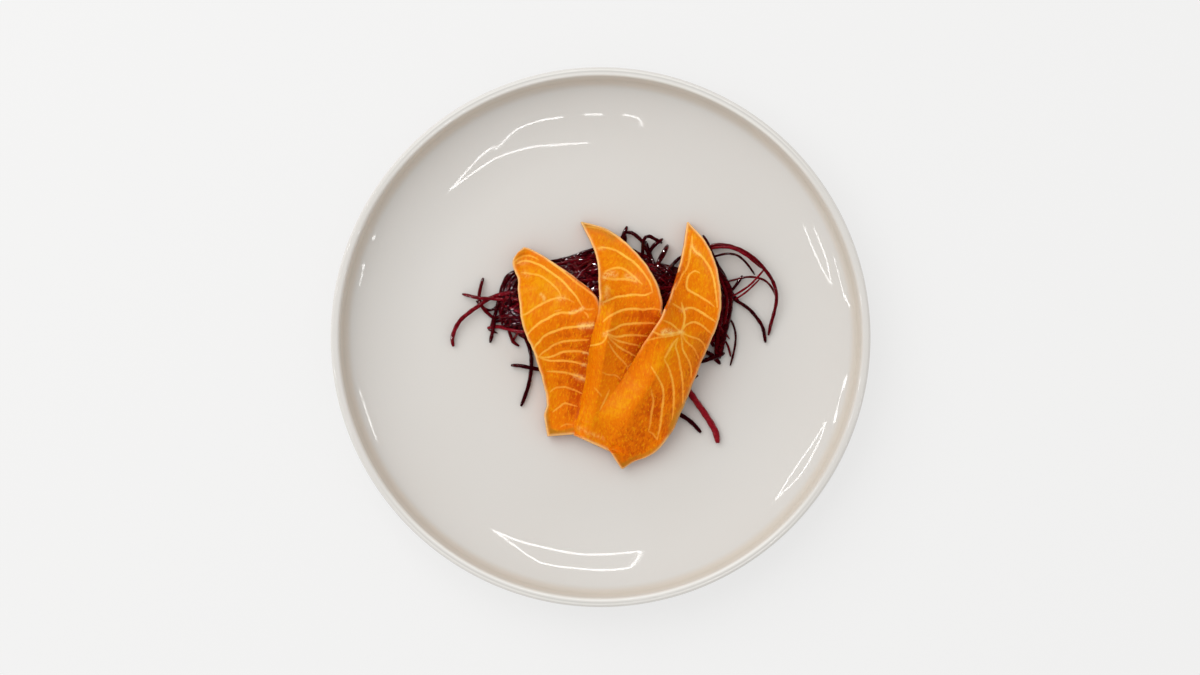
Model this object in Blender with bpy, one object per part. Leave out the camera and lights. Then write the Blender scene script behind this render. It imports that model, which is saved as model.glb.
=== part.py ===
"""Salmon sashimi: three slices fanned over shredded beetroot on a round plate.

Run with: blender --background --python part.py

The plate stands on its foot ring with its centre over the origin. +Z is up, +X is to
the diner's right and +Y points away from the diner. Lengths are in metres.
"""

import math
import random
from dataclasses import dataclass

import bmesh
import bpy
import numpy as np
from mathutils import Vector
from mathutils.geometry import interpolate_bezier

MM = 0.001
GAP = 0.4 * MM  # clearance between pieces that touch in the real dish
WELD = 1e-7

# Plate: a flat well that curves up to a low upright rim
PLATE_RADIUS = 100 * MM
PLATE_HEIGHT = 21 * MM
PLATE_STEPS = 64
FLOOR_HEIGHT = 6 * MM  # top of the well
FLOOR_THICKNESS = 4 * MM
WELL_FLAT_RADIUS = 64 * MM
WELL_CURVE_RADIUS = 75 * MM
WELL_EDGE_RADIUS = 93 * MM  # where the well's slow curve turns into the rim's fillet
RIM_FILLET = 4.5 * MM
RIM_THICKNESS = 3.4 * MM
RIM_LEAN = math.radians(8)  # how far the rim's inner wall leans from upright
LIP_ROUND = 1.3 * MM
SHOULDER_FILLET = 8 * MM  # outside, below the rim
SHOULDER_EDGE_RADIUS = 94.5 * MM
FOOT_RADIUS = 66 * MM
FOOT_WIDTH = 6 * MM
FOOT_ROUND = 0.8 * MM

# Heap of beetroot shreds: a low mound that carries the slices' upper halves
MOUND_CENTRE = Vector((4.5, 11.0)) * MM
MOUND_HALF_LENGTH = 44 * MM
MOUND_HALF_WIDTH = 19 * MM
MOUND_HEIGHT = 9.5 * MM
MOUND_FULLNESS = 0.62  # under 1 gives full shoulders
SHRED_RADIUS = 0.8 * MM
SHRED_STEP = 3.6 * MM  # length of one straight piece of a shred
COVER_SHREDS = 32  # shreds drawn at random where the mound shows between the slices
COVER_SUNK = 0.5  # share of their radius by which they lie in the mound
COVER_SLANT = 0.75  # radians that they turn at most from the mound's length
COVER_SEED = 7
GOLDEN_ANGLE = math.pi * (3 - math.sqrt(5))


@dataclass(frozen=True)
class Shred:
    """A loose shred: its route in plan, in mm, from inside the mound to its free end."""

    route: tuple
    lift: float = 0.0  # mm that its middle rises above what it lies on
    width: float = 1.0  # as a share of the usual width


LOOSE_SHREDS = (
    # left of the heap
    Shred(((-26, 15), (-38, 15.2), (-48.7, 9.9), (-54, 4.6), (-55.1, -3.5)), 1.5, 1.1),
    Shred(((-28, 10), (-38, 14.6), (-46, 15.2), (-52.1, 16.3)), 3.0),
    Shred(((-30, 5), (-40.5, 7.3), (-45, 13), (-43.9, 22.3)), 1.5),
    Shred(((-29, 12), (-39.5, 7), (-40.2, 2.8), (-41.3, -2)), 0.6),
    Shred(((-27, 9), (-34.2, 3.2), (-33.3, -0.6), (-30.9, -3.5)), 0.6),
    # below the left slice
    Shred(((-18, 6), (-26.5, -3), (-26, -12), (-27.2, -20), (-29.4, -25.1))),
    Shred(((-20, -12.8), (-26, -11.6), (-33.1, -10.4)), 1.0),
    # behind, between the middle and the right slice
    Shred(((6, 26), (7.6, 34), (7.9, 38), (9.8, 41.5)), 1.0),
    Shred(((16, 22), (16.8, 30), (14.5, 37), (9.7, 39.3)), 2.0),
    Shred(((17, 24), (16.2, 33), (18, 37.6), (23.1, 35.5)), 3.5),
    Shred(((15, 25), (18.6, 32), (23.6, 36.7)), 1.0),
    Shred(((18, 20), (21.2, 27.3), (25.5, 34.4)), 2.0),
    Shred(((20, 19), (25.7, 25.2), (30.4, 30.1)), 0.5),
    # right of the heap: wide loops
    Shred(((40, 10), (47.5, 18), (44, 28.5), (38.3, 38.1)), 2.5, 1.1),
    Shred(((33, 24), (40.7, 33.6), (49, 34), (61.8, 26.2), (65.8, 15), (62.9, 0.6)), 3.0, 1.2),
    Shred(((36, 20), (43.2, 29.8), (51, 29.8), (58, 23.4)), 4.0),
    Shred(((38, 14), (48.4, 21), (57.5, 22.3), (65.1, 18)), 2.0),
    Shred(((38, 8), (50.2, 15.2), (57.3, 20.8), (61.6, 25)), 3.0, 1.1),
    Shred(((38, 12), (50, 13), (57, 8.5), (61.8, -2)), 1.0, 1.2),
    Shred(((36, 10), (47.5, 7.5), (50.5, -1), (48.4, -11)), 1.0),
    Shred(((38, 8), (45.5, 1), (48.7, -7.6)), 0.5),
    # the bundle along the right slice
    Shred(((36, 22), (44.4, 24), (47.4, 14), (45.6, 5), (43.7, -8)), 2.0, 1.3),
    Shred(((37, 20), (43.2, 22), (45.9, 13), (43.9, 3), (41.5, -7)), 1.0, 1.3),
    Shred(((36, 2), (40.5, -4.6), (45, -10.2)), 0.8),
    Shred(((34, 0), (37.8, -9.1), (42, -7.8), (46.4, -6.4)), 1.6),
    # below the right slice
    Shred(((26, -2), (33.5, -19), (39.8, -28.6), (43.9, -40.2)), 0.0, 1.7),
    Shred(((22, -4), (27, -25), (33, -31), (37.9, -35.9)), 0.0, 1.2),
)

# Salmon slices
SLICE_COLUMNS = 10
SLICE_ROWS = 26
EDGE_ROUND = 2.0 * MM
UNDERSIDE_ROUND = 0.22  # share of the thickness that the rounding takes below
TOPSIDE_ROUND = 0.34  # and above
SETTLING_STEPS = 60  # passes that smooth a slice over what it lies on
SAG_A_STEP = 0.03 * MM  # how far a pass lowers it where nothing holds it
UNDER_REACH = 3.0 * MM  # how far round a point the slice feels what lies below
GROUND_HALF = 72 * MM
GROUND_STEP = 0.5 * MM
LAID_FINENESS = 8  # how many times finer than its own grid a slice's top is read


@dataclass(frozen=True)
class Slice:
    """A slice: its two long edges in plan, in mm, from the near end to the tip."""

    name: str
    left: tuple
    right: tuple
    thickness: float  # mm at the middle
    near_share: float  # thickness at the near end, as a share of the middle's
    tip_share: float  # and at the tip


SLICES = (
    Slice(
        "salmon_slice_left",
        (
            *((-19.4, -36.4), (-20.4, -29), (-19.3, -22.5), (-23.6, -7.5)),
            *((-28.6, 4), (-30.3, 15.4), (-29.9, 22.6), (-32.2, 28.1)),
        ),
        (
            *((-10.2, -36), (-4.5, -21.4), (0, -6.5), (1.1, 4.7)),
            *((-1.1, 14.3), (-7.4, 20.6), (-18.4, 28.4), (-28.3, 33.5)),
        ),
        6.2,
        0.75,
        0.85,
    ),
    Slice(
        "salmon_slice_middle",
        (
            *((-9.7, -35.2), (-6.2, -18.5), (-3.7, -1.7), (-0.9, 9.5)),
            *((-0.7, 19), (-1.9, 30.8), (-7.6, 42.5)),
        ),
        (
            *((3.4, -41.4), (11.2, -28.8), (18.6, -13.9), (22.9, 4.5)),
            *((21.4, 18.8), (13.8, 30.7), (3.5, 39), (-6.3, 43.6)),
        ),
        6.2,
        0.7,
        0.55,
    ),
    Slice(
        "salmon_slice_right",
        (
            *((7.2, -48.2), (1, -37), (-0.4, -28.5), (7.2, -16.8)),
            *((15.8, -2.4), (23.1, 9.5), (29.4, 27.3), (32, 43.4)),
        ),
        (
            *((10.2, -48.4), (21, -41.1), (28.6, -29.6), (36.1, -11.7)),
            *((43.7, 6.5), (44.4, 18.6), (40.2, 32.5), (33.3, 43.6)),
        ),
        6.6,
        0.6,
        0.5,
    ),
)

# Finishes: name, colour, roughness and metallic value
GLAZE = ("glazed_stoneware", (0.72, 0.70, 0.66), 0.12, 0.0)
FISH = ("raw_salmon", (0.80, 0.22, 0.012), 0.32, 0.0)
BEET = ("raw_beetroot", (0.085, 0.003, 0.016), 0.3, 0.0)


def clear_scene():
    """Remove everything that the file opens with."""
    for obj in list(bpy.data.objects):
        bpy.data.objects.remove(obj)


def material(finish):
    """The Principled material of a finish, made once."""
    name, colour, roughness, metallic = finish
    found = bpy.data.materials.get(name)
    if found:
        return found
    made = bpy.data.materials.new(name)
    made.use_nodes = True
    shader = made.node_tree.nodes["Principled BSDF"]
    shader.inputs["Base Color"].default_value = (*colour, 1.0)
    shader.inputs["Roughness"].default_value = roughness
    shader.inputs["Metallic"].default_value = metallic
    return made


def add_object(name, mesh, finish):
    """Put a mesh into the scene as a smooth-shaded object."""
    mesh.materials.clear()
    mesh.materials.append(material(finish))
    mesh.shade_smooth()
    mesh.set_sharp_from_angle(angle=math.radians(40))
    obj = bpy.data.objects.new(name, mesh)
    bpy.context.scene.collection.objects.link(obj)
    return obj


def mesh_from(bm, name):
    """Close a bmesh into a mesh with its faces pointing out."""
    bmesh.ops.recalc_face_normals(bm, faces=bm.faces)
    mesh = bpy.data.meshes.new(name)
    bm.to_mesh(mesh)
    bm.free()
    return mesh


# Plate ---------------------------------------------------------------------------


def arc(centre, radius, start, end, steps):
    """Points of an arc in (distance from the axis, height), angles from straight down."""
    angles = [start + (end - start) * i / steps for i in range(steps + 1)]
    return [(centre[0] + radius * math.sin(a), centre[1] - radius * math.cos(a)) for a in angles]


def well_top(distance):
    """Height of the well's upper face at a distance, or array of distances, from the axis."""
    rise = np.clip(distance - WELL_FLAT_RADIUS, 0, WELL_EDGE_RADIUS - WELL_FLAT_RADIUS)
    return FLOOR_HEIGHT + WELL_CURVE_RADIUS - np.sqrt(WELL_CURVE_RADIUS**2 - rise**2)


def curve_then_fillet(base_radius, edge_radius, fillet, lean, steps):
    """A slow curve out from the flat floor to edge_radius, then a fillet up to the rim's wall.

    base_radius is the slow curve's radius about a centre above the flat's edge. Both faces
    of the plate share that centre, so the floor keeps its thickness.
    """
    centre = (WELL_FLAT_RADIUS, FLOOR_HEIGHT + WELL_CURVE_RADIUS)
    slope = math.asin((edge_radius - WELL_FLAT_RADIUS) / base_radius)
    slow = arc(centre, base_radius, 0, slope, steps)
    turn_centre = (
        slow[-1][0] - fillet * math.sin(slope),
        slow[-1][1] + fillet * math.cos(slope),
    )
    return slow, arc(turn_centre, fillet, slope, math.pi / 2 - lean, steps)[1:]


def plate_profile():
    """The plate's section, from the middle of the well out over the rim and back below."""
    well, inner_turn = curve_then_fillet(
        WELL_CURVE_RADIUS, WELL_EDGE_RADIUS, RIM_FILLET, RIM_LEAN, 3
    )
    below, outer_turn = curve_then_fillet(
        WELL_CURVE_RADIUS + FLOOR_THICKNESS, SHOULDER_EDGE_RADIUS, SHOULDER_FILLET, 0, 3
    )
    lip_height = PLATE_HEIGHT - LIP_ROUND
    inner_lip = PLATE_RADIUS - RIM_THICKNESS
    lip = [
        (inner_lip, lip_height),
        (inner_lip + 0.3 * LIP_ROUND, PLATE_HEIGHT - 0.3 * LIP_ROUND),
        (inner_lip + LIP_ROUND, PLATE_HEIGHT),
        (PLATE_RADIUS - LIP_ROUND, PLATE_HEIGHT),
        (PLATE_RADIUS - 0.3 * LIP_ROUND, PLATE_HEIGHT - 0.3 * LIP_ROUND),
        (PLATE_RADIUS, lip_height),
    ]
    underside = FLOOR_HEIGHT - FLOOR_THICKNESS
    foot_inner = FOOT_RADIUS - FOOT_WIDTH
    foot = [
        (FOOT_RADIUS + FOOT_ROUND, below[1][1]),
        (FOOT_RADIUS, FOOT_ROUND),
        (FOOT_RADIUS - FOOT_ROUND, 0),
        (foot_inner + FOOT_ROUND, 0),
        (foot_inner, FOOT_ROUND),
        (foot_inner - FOOT_ROUND, underside),
        (0, underside),
    ]
    outside = [*reversed(below[2:] + outer_turn)]
    return [(0, FLOOR_HEIGHT)] + well + inner_turn + lip + outside + foot


def build_plate():
    """Turn the section about the plate's axis."""
    bm = bmesh.new()
    corners = [bm.verts.new((radius, 0, height)) for radius, height in plate_profile()]
    edges = [bm.edges.new(pair) for pair in zip(corners, corners[1:])]
    bmesh.ops.spin(
        bm,
        geom=corners + edges,
        cent=(0, 0, 0),
        axis=(0, 0, 1),
        angle=2 * math.pi,
        steps=PLATE_STEPS,
        use_merge=True,
    )
    bmesh.ops.remove_doubles(bm, verts=bm.verts, dist=WELD)
    return add_object("plate", mesh_from(bm, "plate"), GLAZE)


# Shredded beetroot ---------------------------------------------------------------


def mound_top(x, y):
    """Height of the bare mound's surface at plan points, or the floor's off the mound."""
    across = ((x - MOUND_CENTRE.x) / MOUND_HALF_LENGTH) ** 2
    along = ((y - MOUND_CENTRE.y) / MOUND_HALF_WIDTH) ** 2
    inside = np.clip(1 - across - along, 0, 1)
    return FLOOR_HEIGHT + GAP + MOUND_HEIGHT * inside**MOUND_FULLNESS


def smooth_route(points, step):
    """Points about a step apart on a smooth curve through the given plan points."""
    knots = [Vector((*p, 0)) for p in points]
    slopes = [
        (knots[min(i + 1, len(knots) - 1)] - knots[max(i - 1, 0)]) / 2 for i in range(len(knots))
    ]
    route = [knots[0]]
    for i in range(len(knots) - 1):
        count = max(2, round((knots[i + 1] - knots[i]).length / step) + 1)
        leave = knots[i] + slopes[i] / 3
        arrive = knots[i + 1] - slopes[i + 1] / 3
        route += interpolate_bezier(knots[i], leave, arrive, knots[i + 1], count)[1:]
    return route


def lay_on_heap(route, radius, lift, sunk=0.0):
    """Give a plan route its heights: on the plate or the mound, higher by lift at its middle.

    sunk is the share of the radius by which it lies in the mound.
    """
    laid = []
    for i, point in enumerate(route):
        share = i / (len(route) - 1)
        on_mound = float(mound_top(point.x, point.y)) - sunk * radius
        on_plate = float(well_top(point.to_2d().length)) + GAP
        height = max(on_mound, on_plate) + radius + lift * math.sin(math.pi * share)
        laid.append(Vector((point.x, point.y, height)))
    return laid


def loose_routes():
    """(points, radius) of each loose shred."""
    for shred in LOOSE_SHREDS:
        radius = SHRED_RADIUS * shred.width
        route = smooth_route([Vector(p) * MM for p in shred.route], SHRED_STEP)
        yield lay_on_heap(route, radius, shred.lift * MM), radius


def under_a_slice(point):
    """Whether a slice's outline has the plan point inside it."""
    for shape in SLICES:
        outline = [Vector(p) * MM for p in (*shape.left, *reversed(shape.right))]
        crossings = 0
        for a, b in zip(outline, outline[1:] + outline[:1]):
            if (a.y > point.y) != (b.y > point.y):
                crossings += point.x < a.x + (b.x - a.x) * (point.y - a.y) / (b.y - a.y)
        if crossings % 2:
            return True
    return False


def bare_places(draw):
    """Plan points spread over the mound, without those under a slice."""
    step = 0
    while True:
        step += 1
        reach = math.sqrt(draw.random())
        turn = step * GOLDEN_ANGLE
        out = Vector((MOUND_HALF_LENGTH * math.cos(turn), MOUND_HALF_WIDTH * math.sin(turn)))
        place = MOUND_CENTRE + out * reach
        if not under_a_slice(place):
            yield place


def cover_routes():
    """(points, radius) of the shreds that lie over the mound, partly sunk in it."""
    draw = random.Random(COVER_SEED)
    for middle, _ in zip(bare_places(draw), range(COVER_SHREDS)):
        heading = draw.uniform(-COVER_SLANT, COVER_SLANT)
        half = Vector((math.cos(heading), math.sin(heading))) * draw.uniform(5, 10) * MM
        bow = half.orthogonal() * draw.uniform(-0.4, 0.4)
        route = smooth_route([middle - half, middle + bow, middle + half], SHRED_STEP)
        lift = draw.uniform(0.2, 1.2) * MM
        yield lay_on_heap(route, SHRED_RADIUS, lift, sunk=COVER_SUNK), SHRED_RADIUS


def strip_mesh(points, radius):
    """A four-sided strip along the points, closed at both ends."""
    curve = bpy.data.curves.new("strip", "CURVE")
    curve.dimensions = "3D"
    curve.bevel_depth = radius
    curve.bevel_resolution = 0
    curve.use_fill_caps = True
    spline = curve.splines.new("POLY")
    spline.points.add(len(points) - 1)
    for target, point in zip(spline.points, points):
        target.co = (*point, 1)
    helper = bpy.data.objects.new("strip", curve)
    mesh = bpy.data.meshes.new_from_object(helper)
    bpy.data.objects.remove(helper)
    bpy.data.curves.remove(curve)
    bm = bmesh.new()
    bm.from_mesh(mesh)
    bpy.data.meshes.remove(mesh)
    bmesh.ops.remove_doubles(bm, verts=bm.verts, dist=WELD)
    return mesh_from(bm, "strip")


def mound_mesh():
    """The solid mound: a sphere's points drawn onto the mound's surface and its flat base."""
    bm = bmesh.new()
    bmesh.ops.create_uvsphere(bm, u_segments=28, v_segments=12, radius=1)
    for vert in bm.verts:
        above = vert.co.z > 0
        vert.co.x = MOUND_CENTRE.x + MOUND_HALF_LENGTH * vert.co.x
        vert.co.y = MOUND_CENTRE.y + MOUND_HALF_WIDTH * vert.co.y
        surface = float(mound_top(vert.co.x, vert.co.y))
        vert.co.z = surface if above else FLOOR_HEIGHT + GAP
    return mesh_from(bm, "mound")


def outer_skin(mesh):
    """Keep the largest closed surface: sealed hollows are filled and loose scraps dropped."""
    bm = bmesh.new()
    bm.from_mesh(mesh)
    waiting = set(bm.faces)
    shells = []
    while waiting:
        shell = {waiting.pop()}
        edge_of_shell = list(shell)
        while edge_of_shell:
            face = edge_of_shell.pop()
            near = {other for edge in face.edges for other in edge.link_faces} & waiting
            waiting -= near
            shell |= near
            edge_of_shell += near
        shells.append(shell)
    kept = max(shells, key=len)
    dropped = [face for face in bm.faces if face not in kept]
    bmesh.ops.delete(bm, geom=dropped, context="FACES")
    bm.to_mesh(mesh)
    bm.free()
    return mesh


def build_shreds(routes):
    """Fuse the mound and every shred into one solid."""
    strips = bpy.data.collections.new("strips")
    bpy.context.scene.collection.children.link(strips)
    for points, radius in routes:
        strips.objects.link(bpy.data.objects.new("strip", strip_mesh(points, radius)))
    heap = add_object("heap", mound_mesh(), BEET)
    fuse = heap.modifiers.new("fuse", "BOOLEAN")
    fuse.operation = "UNION"
    fuse.operand_type = "COLLECTION"
    fuse.collection = strips
    fuse.solver = "MANIFOLD"
    graph = bpy.context.evaluated_depsgraph_get()
    fused = bpy.data.meshes.new_from_object(heap.evaluated_get(graph))
    for helper in [*strips.objects, heap]:
        bpy.data.objects.remove(helper)
    bpy.data.collections.remove(strips)
    return add_object("beet_shreds", outer_skin(fused), BEET)


# Salmon --------------------------------------------------------------------------


class Ground:
    """Height of all that is laid so far, on a square grid over the plate."""

    def __init__(self):
        axis = np.arange(-GROUND_HALF, GROUND_HALF + GROUND_STEP, GROUND_STEP)
        x, y = np.meshgrid(axis, axis, indexing="ij")
        self.height = np.maximum(well_top(np.hypot(x, y)), mound_top(x, y))

    def cells(self, plan):
        """Grid indices of plan points."""
        return tuple(np.rint((plan + GROUND_HALF) / GROUND_STEP).astype(int).T)

    def lay(self, points):
        """Raise the ground to points on top of a piece."""
        np.maximum.at(self.height, self.cells(points[:, :2]), points[:, 2])

    def felt(self, plan):
        """The highest ground within reach of each plan point."""
        reach = round(UNDER_REACH / GROUND_STEP)
        row, column = self.cells(plan.reshape(-1, 2))
        highest = np.full(len(row), -np.inf)
        for i in range(-reach, reach + 1):
            for j in range(-reach, reach + 1):
                if i * i + j * j <= reach * reach:
                    highest = np.maximum(highest, self.height[row + i, column + j])
        return highest.reshape(plan.shape[:-1])


def edge_curve(points, shares):
    """Plan points at the given shares of a smooth edge's length."""
    route = np.array([p.to_2d() for p in smooth_route([Vector(p) * MM for p in points], 0.5 * MM)])
    run = np.concatenate([[0], np.cumsum(np.linalg.norm(np.diff(route, axis=0), axis=1))])
    return np.stack([np.interp(shares * run[-1], run, route[:, k]) for k in (0, 1)], axis=1)


def settle(ground):
    """A soft slice's underside: smooth, and nowhere below what it lies on."""
    height = ground.copy()
    for _ in range(SETTLING_STEPS):
        wide = np.pad(height, 1, mode="edge")
        around = (wide[:-2, 1:-1] + wide[2:, 1:-1] + wide[1:-1, :-2] + wide[1:-1, 2:]) / 4
        height = np.maximum(ground, (height + around) / 2 - SAG_A_STEP)
    return height


def slice_faces(shape, ground):
    """(plan, underside height, top height) over the slice's grid of rows and columns."""
    even = np.linspace(0, 1, SLICE_ROWS + 1)
    rows = 0.7 * even + 0.3 * (1 - np.cos(math.pi * even)) / 2
    columns = (1 - np.cos(np.linspace(0, math.pi, SLICE_COLUMNS + 1))) / 2
    left = edge_curve(shape.left, rows)[:, None]
    right = edge_curve(shape.right, rows)[:, None]
    across = columns[None, :, None]
    plan = left + (right - left) * across
    width = np.linalg.norm(right - left, axis=2)
    length = np.linalg.norm(plan[-1] - plan[0], axis=1)[None]
    inset = np.minimum(
        np.minimum(columns, 1 - columns)[None] * width,
        np.minimum(rows, 1 - rows)[:, None] * length,
    )
    roundness = np.sqrt(1 - (1 - np.clip(inset / EDGE_ROUND, 0, 1)) ** 2)
    along = np.interp(rows, (0, 0.3, 0.7, 1), (shape.near_share, 1, 1, shape.tip_share))
    thickness = shape.thickness * MM * along[:, None]
    base = settle(ground.felt(plan) + GAP)
    under = base + thickness * UNDERSIDE_ROUND * (1 - roundness)
    top = base + thickness * (1 - TOPSIDE_ROUND * (1 - roundness))
    return plan, under, top


def finer(surface, times):
    """The same surface on a grid that many times as fine, by straight runs."""
    for axis in (0, 1):
        rows = np.swapaxes(surface, 0, axis)
        steps = np.linspace(0, len(rows) - 1, times * (len(rows) - 1) + 1)
        low = np.minimum(steps.astype(int), len(rows) - 2)
        share = (steps - low)[:, None, None]
        surface = np.swapaxes(rows[low] * (1 - share) + rows[low + 1] * share, 0, axis)
    return surface


def build_slice(shape, ground):
    """Lay one slice on the ground, which it then raises."""
    plan, under, top = slice_faces(shape, ground)
    bm = bmesh.new()
    bmesh.ops.create_grid(bm, x_segments=SLICE_COLUMNS, y_segments=SLICE_ROWS, size=0.5)
    raised = bmesh.ops.extrude_face_region(bm, geom=bm.faces[:], use_keep_orig=True)["geom"]
    bmesh.ops.translate(bm, vec=(0, 0, 1), verts=[v for v in raised if isinstance(v, bmesh.types.BMVert)])
    for vert in bm.verts:
        row = round((vert.co.y + 0.5) * SLICE_ROWS)
        column = round((vert.co.x + 0.5) * SLICE_COLUMNS)
        height = top if vert.co.z > 0 else under
        vert.co = (*plan[row, column], height[row, column])
    ground.lay(finer(np.dstack([plan, top]), LAID_FINENESS).reshape(-1, 3))
    return add_object(shape.name, mesh_from(bm, shape.name), FISH)


def main():
    clear_scene()
    build_plate()
    routes = [*loose_routes(), *cover_routes()]
    build_shreds(routes)
    ground = Ground()
    for points, radius in routes:
        ground.lay(np.array([(p.x, p.y, p.z + radius) for p in points]))
    for shape in SLICES:
        build_slice(shape, ground)


main()
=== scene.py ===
"""Looks of the salmon sashimi: glazed plate, shredded beetroot and three slices of salmon.

Lengths are in metres unless a description says mm. +X is to the diner's right, +Y points away
from the diner and +Z is up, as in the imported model.
"""

import logging
import math
import random
from collections.abc import Iterator
from dataclasses import dataclass, field
from enum import Enum

import bmesh
import bpy
import numpy as np
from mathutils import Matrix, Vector, noise
from mathutils.bvhtree import BVHTree
from mathutils.geometry import interpolate_bezier


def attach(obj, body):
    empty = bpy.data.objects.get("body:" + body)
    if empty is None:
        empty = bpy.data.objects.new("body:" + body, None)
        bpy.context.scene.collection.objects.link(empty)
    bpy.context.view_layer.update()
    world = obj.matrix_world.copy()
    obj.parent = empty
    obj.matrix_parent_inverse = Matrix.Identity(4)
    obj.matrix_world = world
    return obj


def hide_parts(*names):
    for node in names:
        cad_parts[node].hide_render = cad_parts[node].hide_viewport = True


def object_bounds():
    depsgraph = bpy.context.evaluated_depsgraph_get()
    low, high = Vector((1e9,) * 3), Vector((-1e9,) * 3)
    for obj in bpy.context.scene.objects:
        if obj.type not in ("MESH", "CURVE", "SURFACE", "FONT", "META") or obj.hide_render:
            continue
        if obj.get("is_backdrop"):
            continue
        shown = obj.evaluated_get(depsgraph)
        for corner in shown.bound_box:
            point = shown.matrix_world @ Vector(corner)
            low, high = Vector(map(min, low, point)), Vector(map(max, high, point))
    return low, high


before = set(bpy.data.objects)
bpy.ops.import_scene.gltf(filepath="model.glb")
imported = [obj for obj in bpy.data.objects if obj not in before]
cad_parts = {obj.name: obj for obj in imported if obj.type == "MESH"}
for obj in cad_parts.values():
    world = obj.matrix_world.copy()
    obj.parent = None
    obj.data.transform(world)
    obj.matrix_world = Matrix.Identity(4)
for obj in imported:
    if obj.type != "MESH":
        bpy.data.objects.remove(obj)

MM = 0.001
WELD = 1e-7
OVERHEAD = 100 * MM
UP = Vector((0, 0, 1))
DOWN = Vector((0, 0, -1))
BODY = "root"
NOISE_MEAN = 0.5
LOG = logging.getLogger("sashimi")

Triple = tuple[float, float, float]
Colour = Triple
Pair = tuple[float, float]
Point = Pair
Points = tuple[Point, ...]
Range = Pair
Strand = tuple[list[Vector], float, float]  # centre line, radius, tint


class Node(Enum):
    """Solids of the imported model."""

    PLATE = "plate"
    SHREDS = "beet_shreds"
    SLICE_LEFT = "salmon_slice_left"
    SLICE_MIDDLE = "salmon_slice_middle"
    SLICE_RIGHT = "salmon_slice_right"


class Slot(Enum):
    """Material slots of the dish."""

    GLAZE = "plate_glaze"
    BEETROOT = "beetroot"
    SALMON = "salmon"


# Shader graphs ---------------------------------------------------------------------


class Signal:
    """A shader socket that can stand in an arithmetic expression."""

    def __init__(self, graph: "Graph", socket: bpy.types.NodeSocket) -> None:
        """Wrap one output socket of a graph."""
        self.graph = graph
        self.socket = socket

    def _math(self, operation: str, first: object, second: object) -> "Signal":
        """Add one Math node."""
        return self.graph.node("ShaderNodeMath", {"operation": operation}, {0: first, 1: second})

    def __add__(self, other: object) -> "Signal":
        """Sum of two values."""
        return self._math("ADD", self, other)

    def __radd__(self, other: object) -> "Signal":
        """Sum with a number on the left."""
        return self._math("ADD", other, self)

    def __sub__(self, other: object) -> "Signal":
        """Difference of two values."""
        return self._math("SUBTRACT", self, other)

    def __rsub__(self, other: object) -> "Signal":
        """Difference from a number on the left."""
        return self._math("SUBTRACT", other, self)

    def __mul__(self, other: object) -> "Signal":
        """Product of two values."""
        return self._math("MULTIPLY", self, other)

    def __rmul__(self, other: object) -> "Signal":
        """Product with a number on the left."""
        return self._math("MULTIPLY", other, self)


@dataclass(frozen=True)
class Pattern:
    """A noise pattern: the length of its coarsest features, its finer layers and their strength."""

    size: float
    detail: float = 2.0
    rough: float = 0.5


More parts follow.
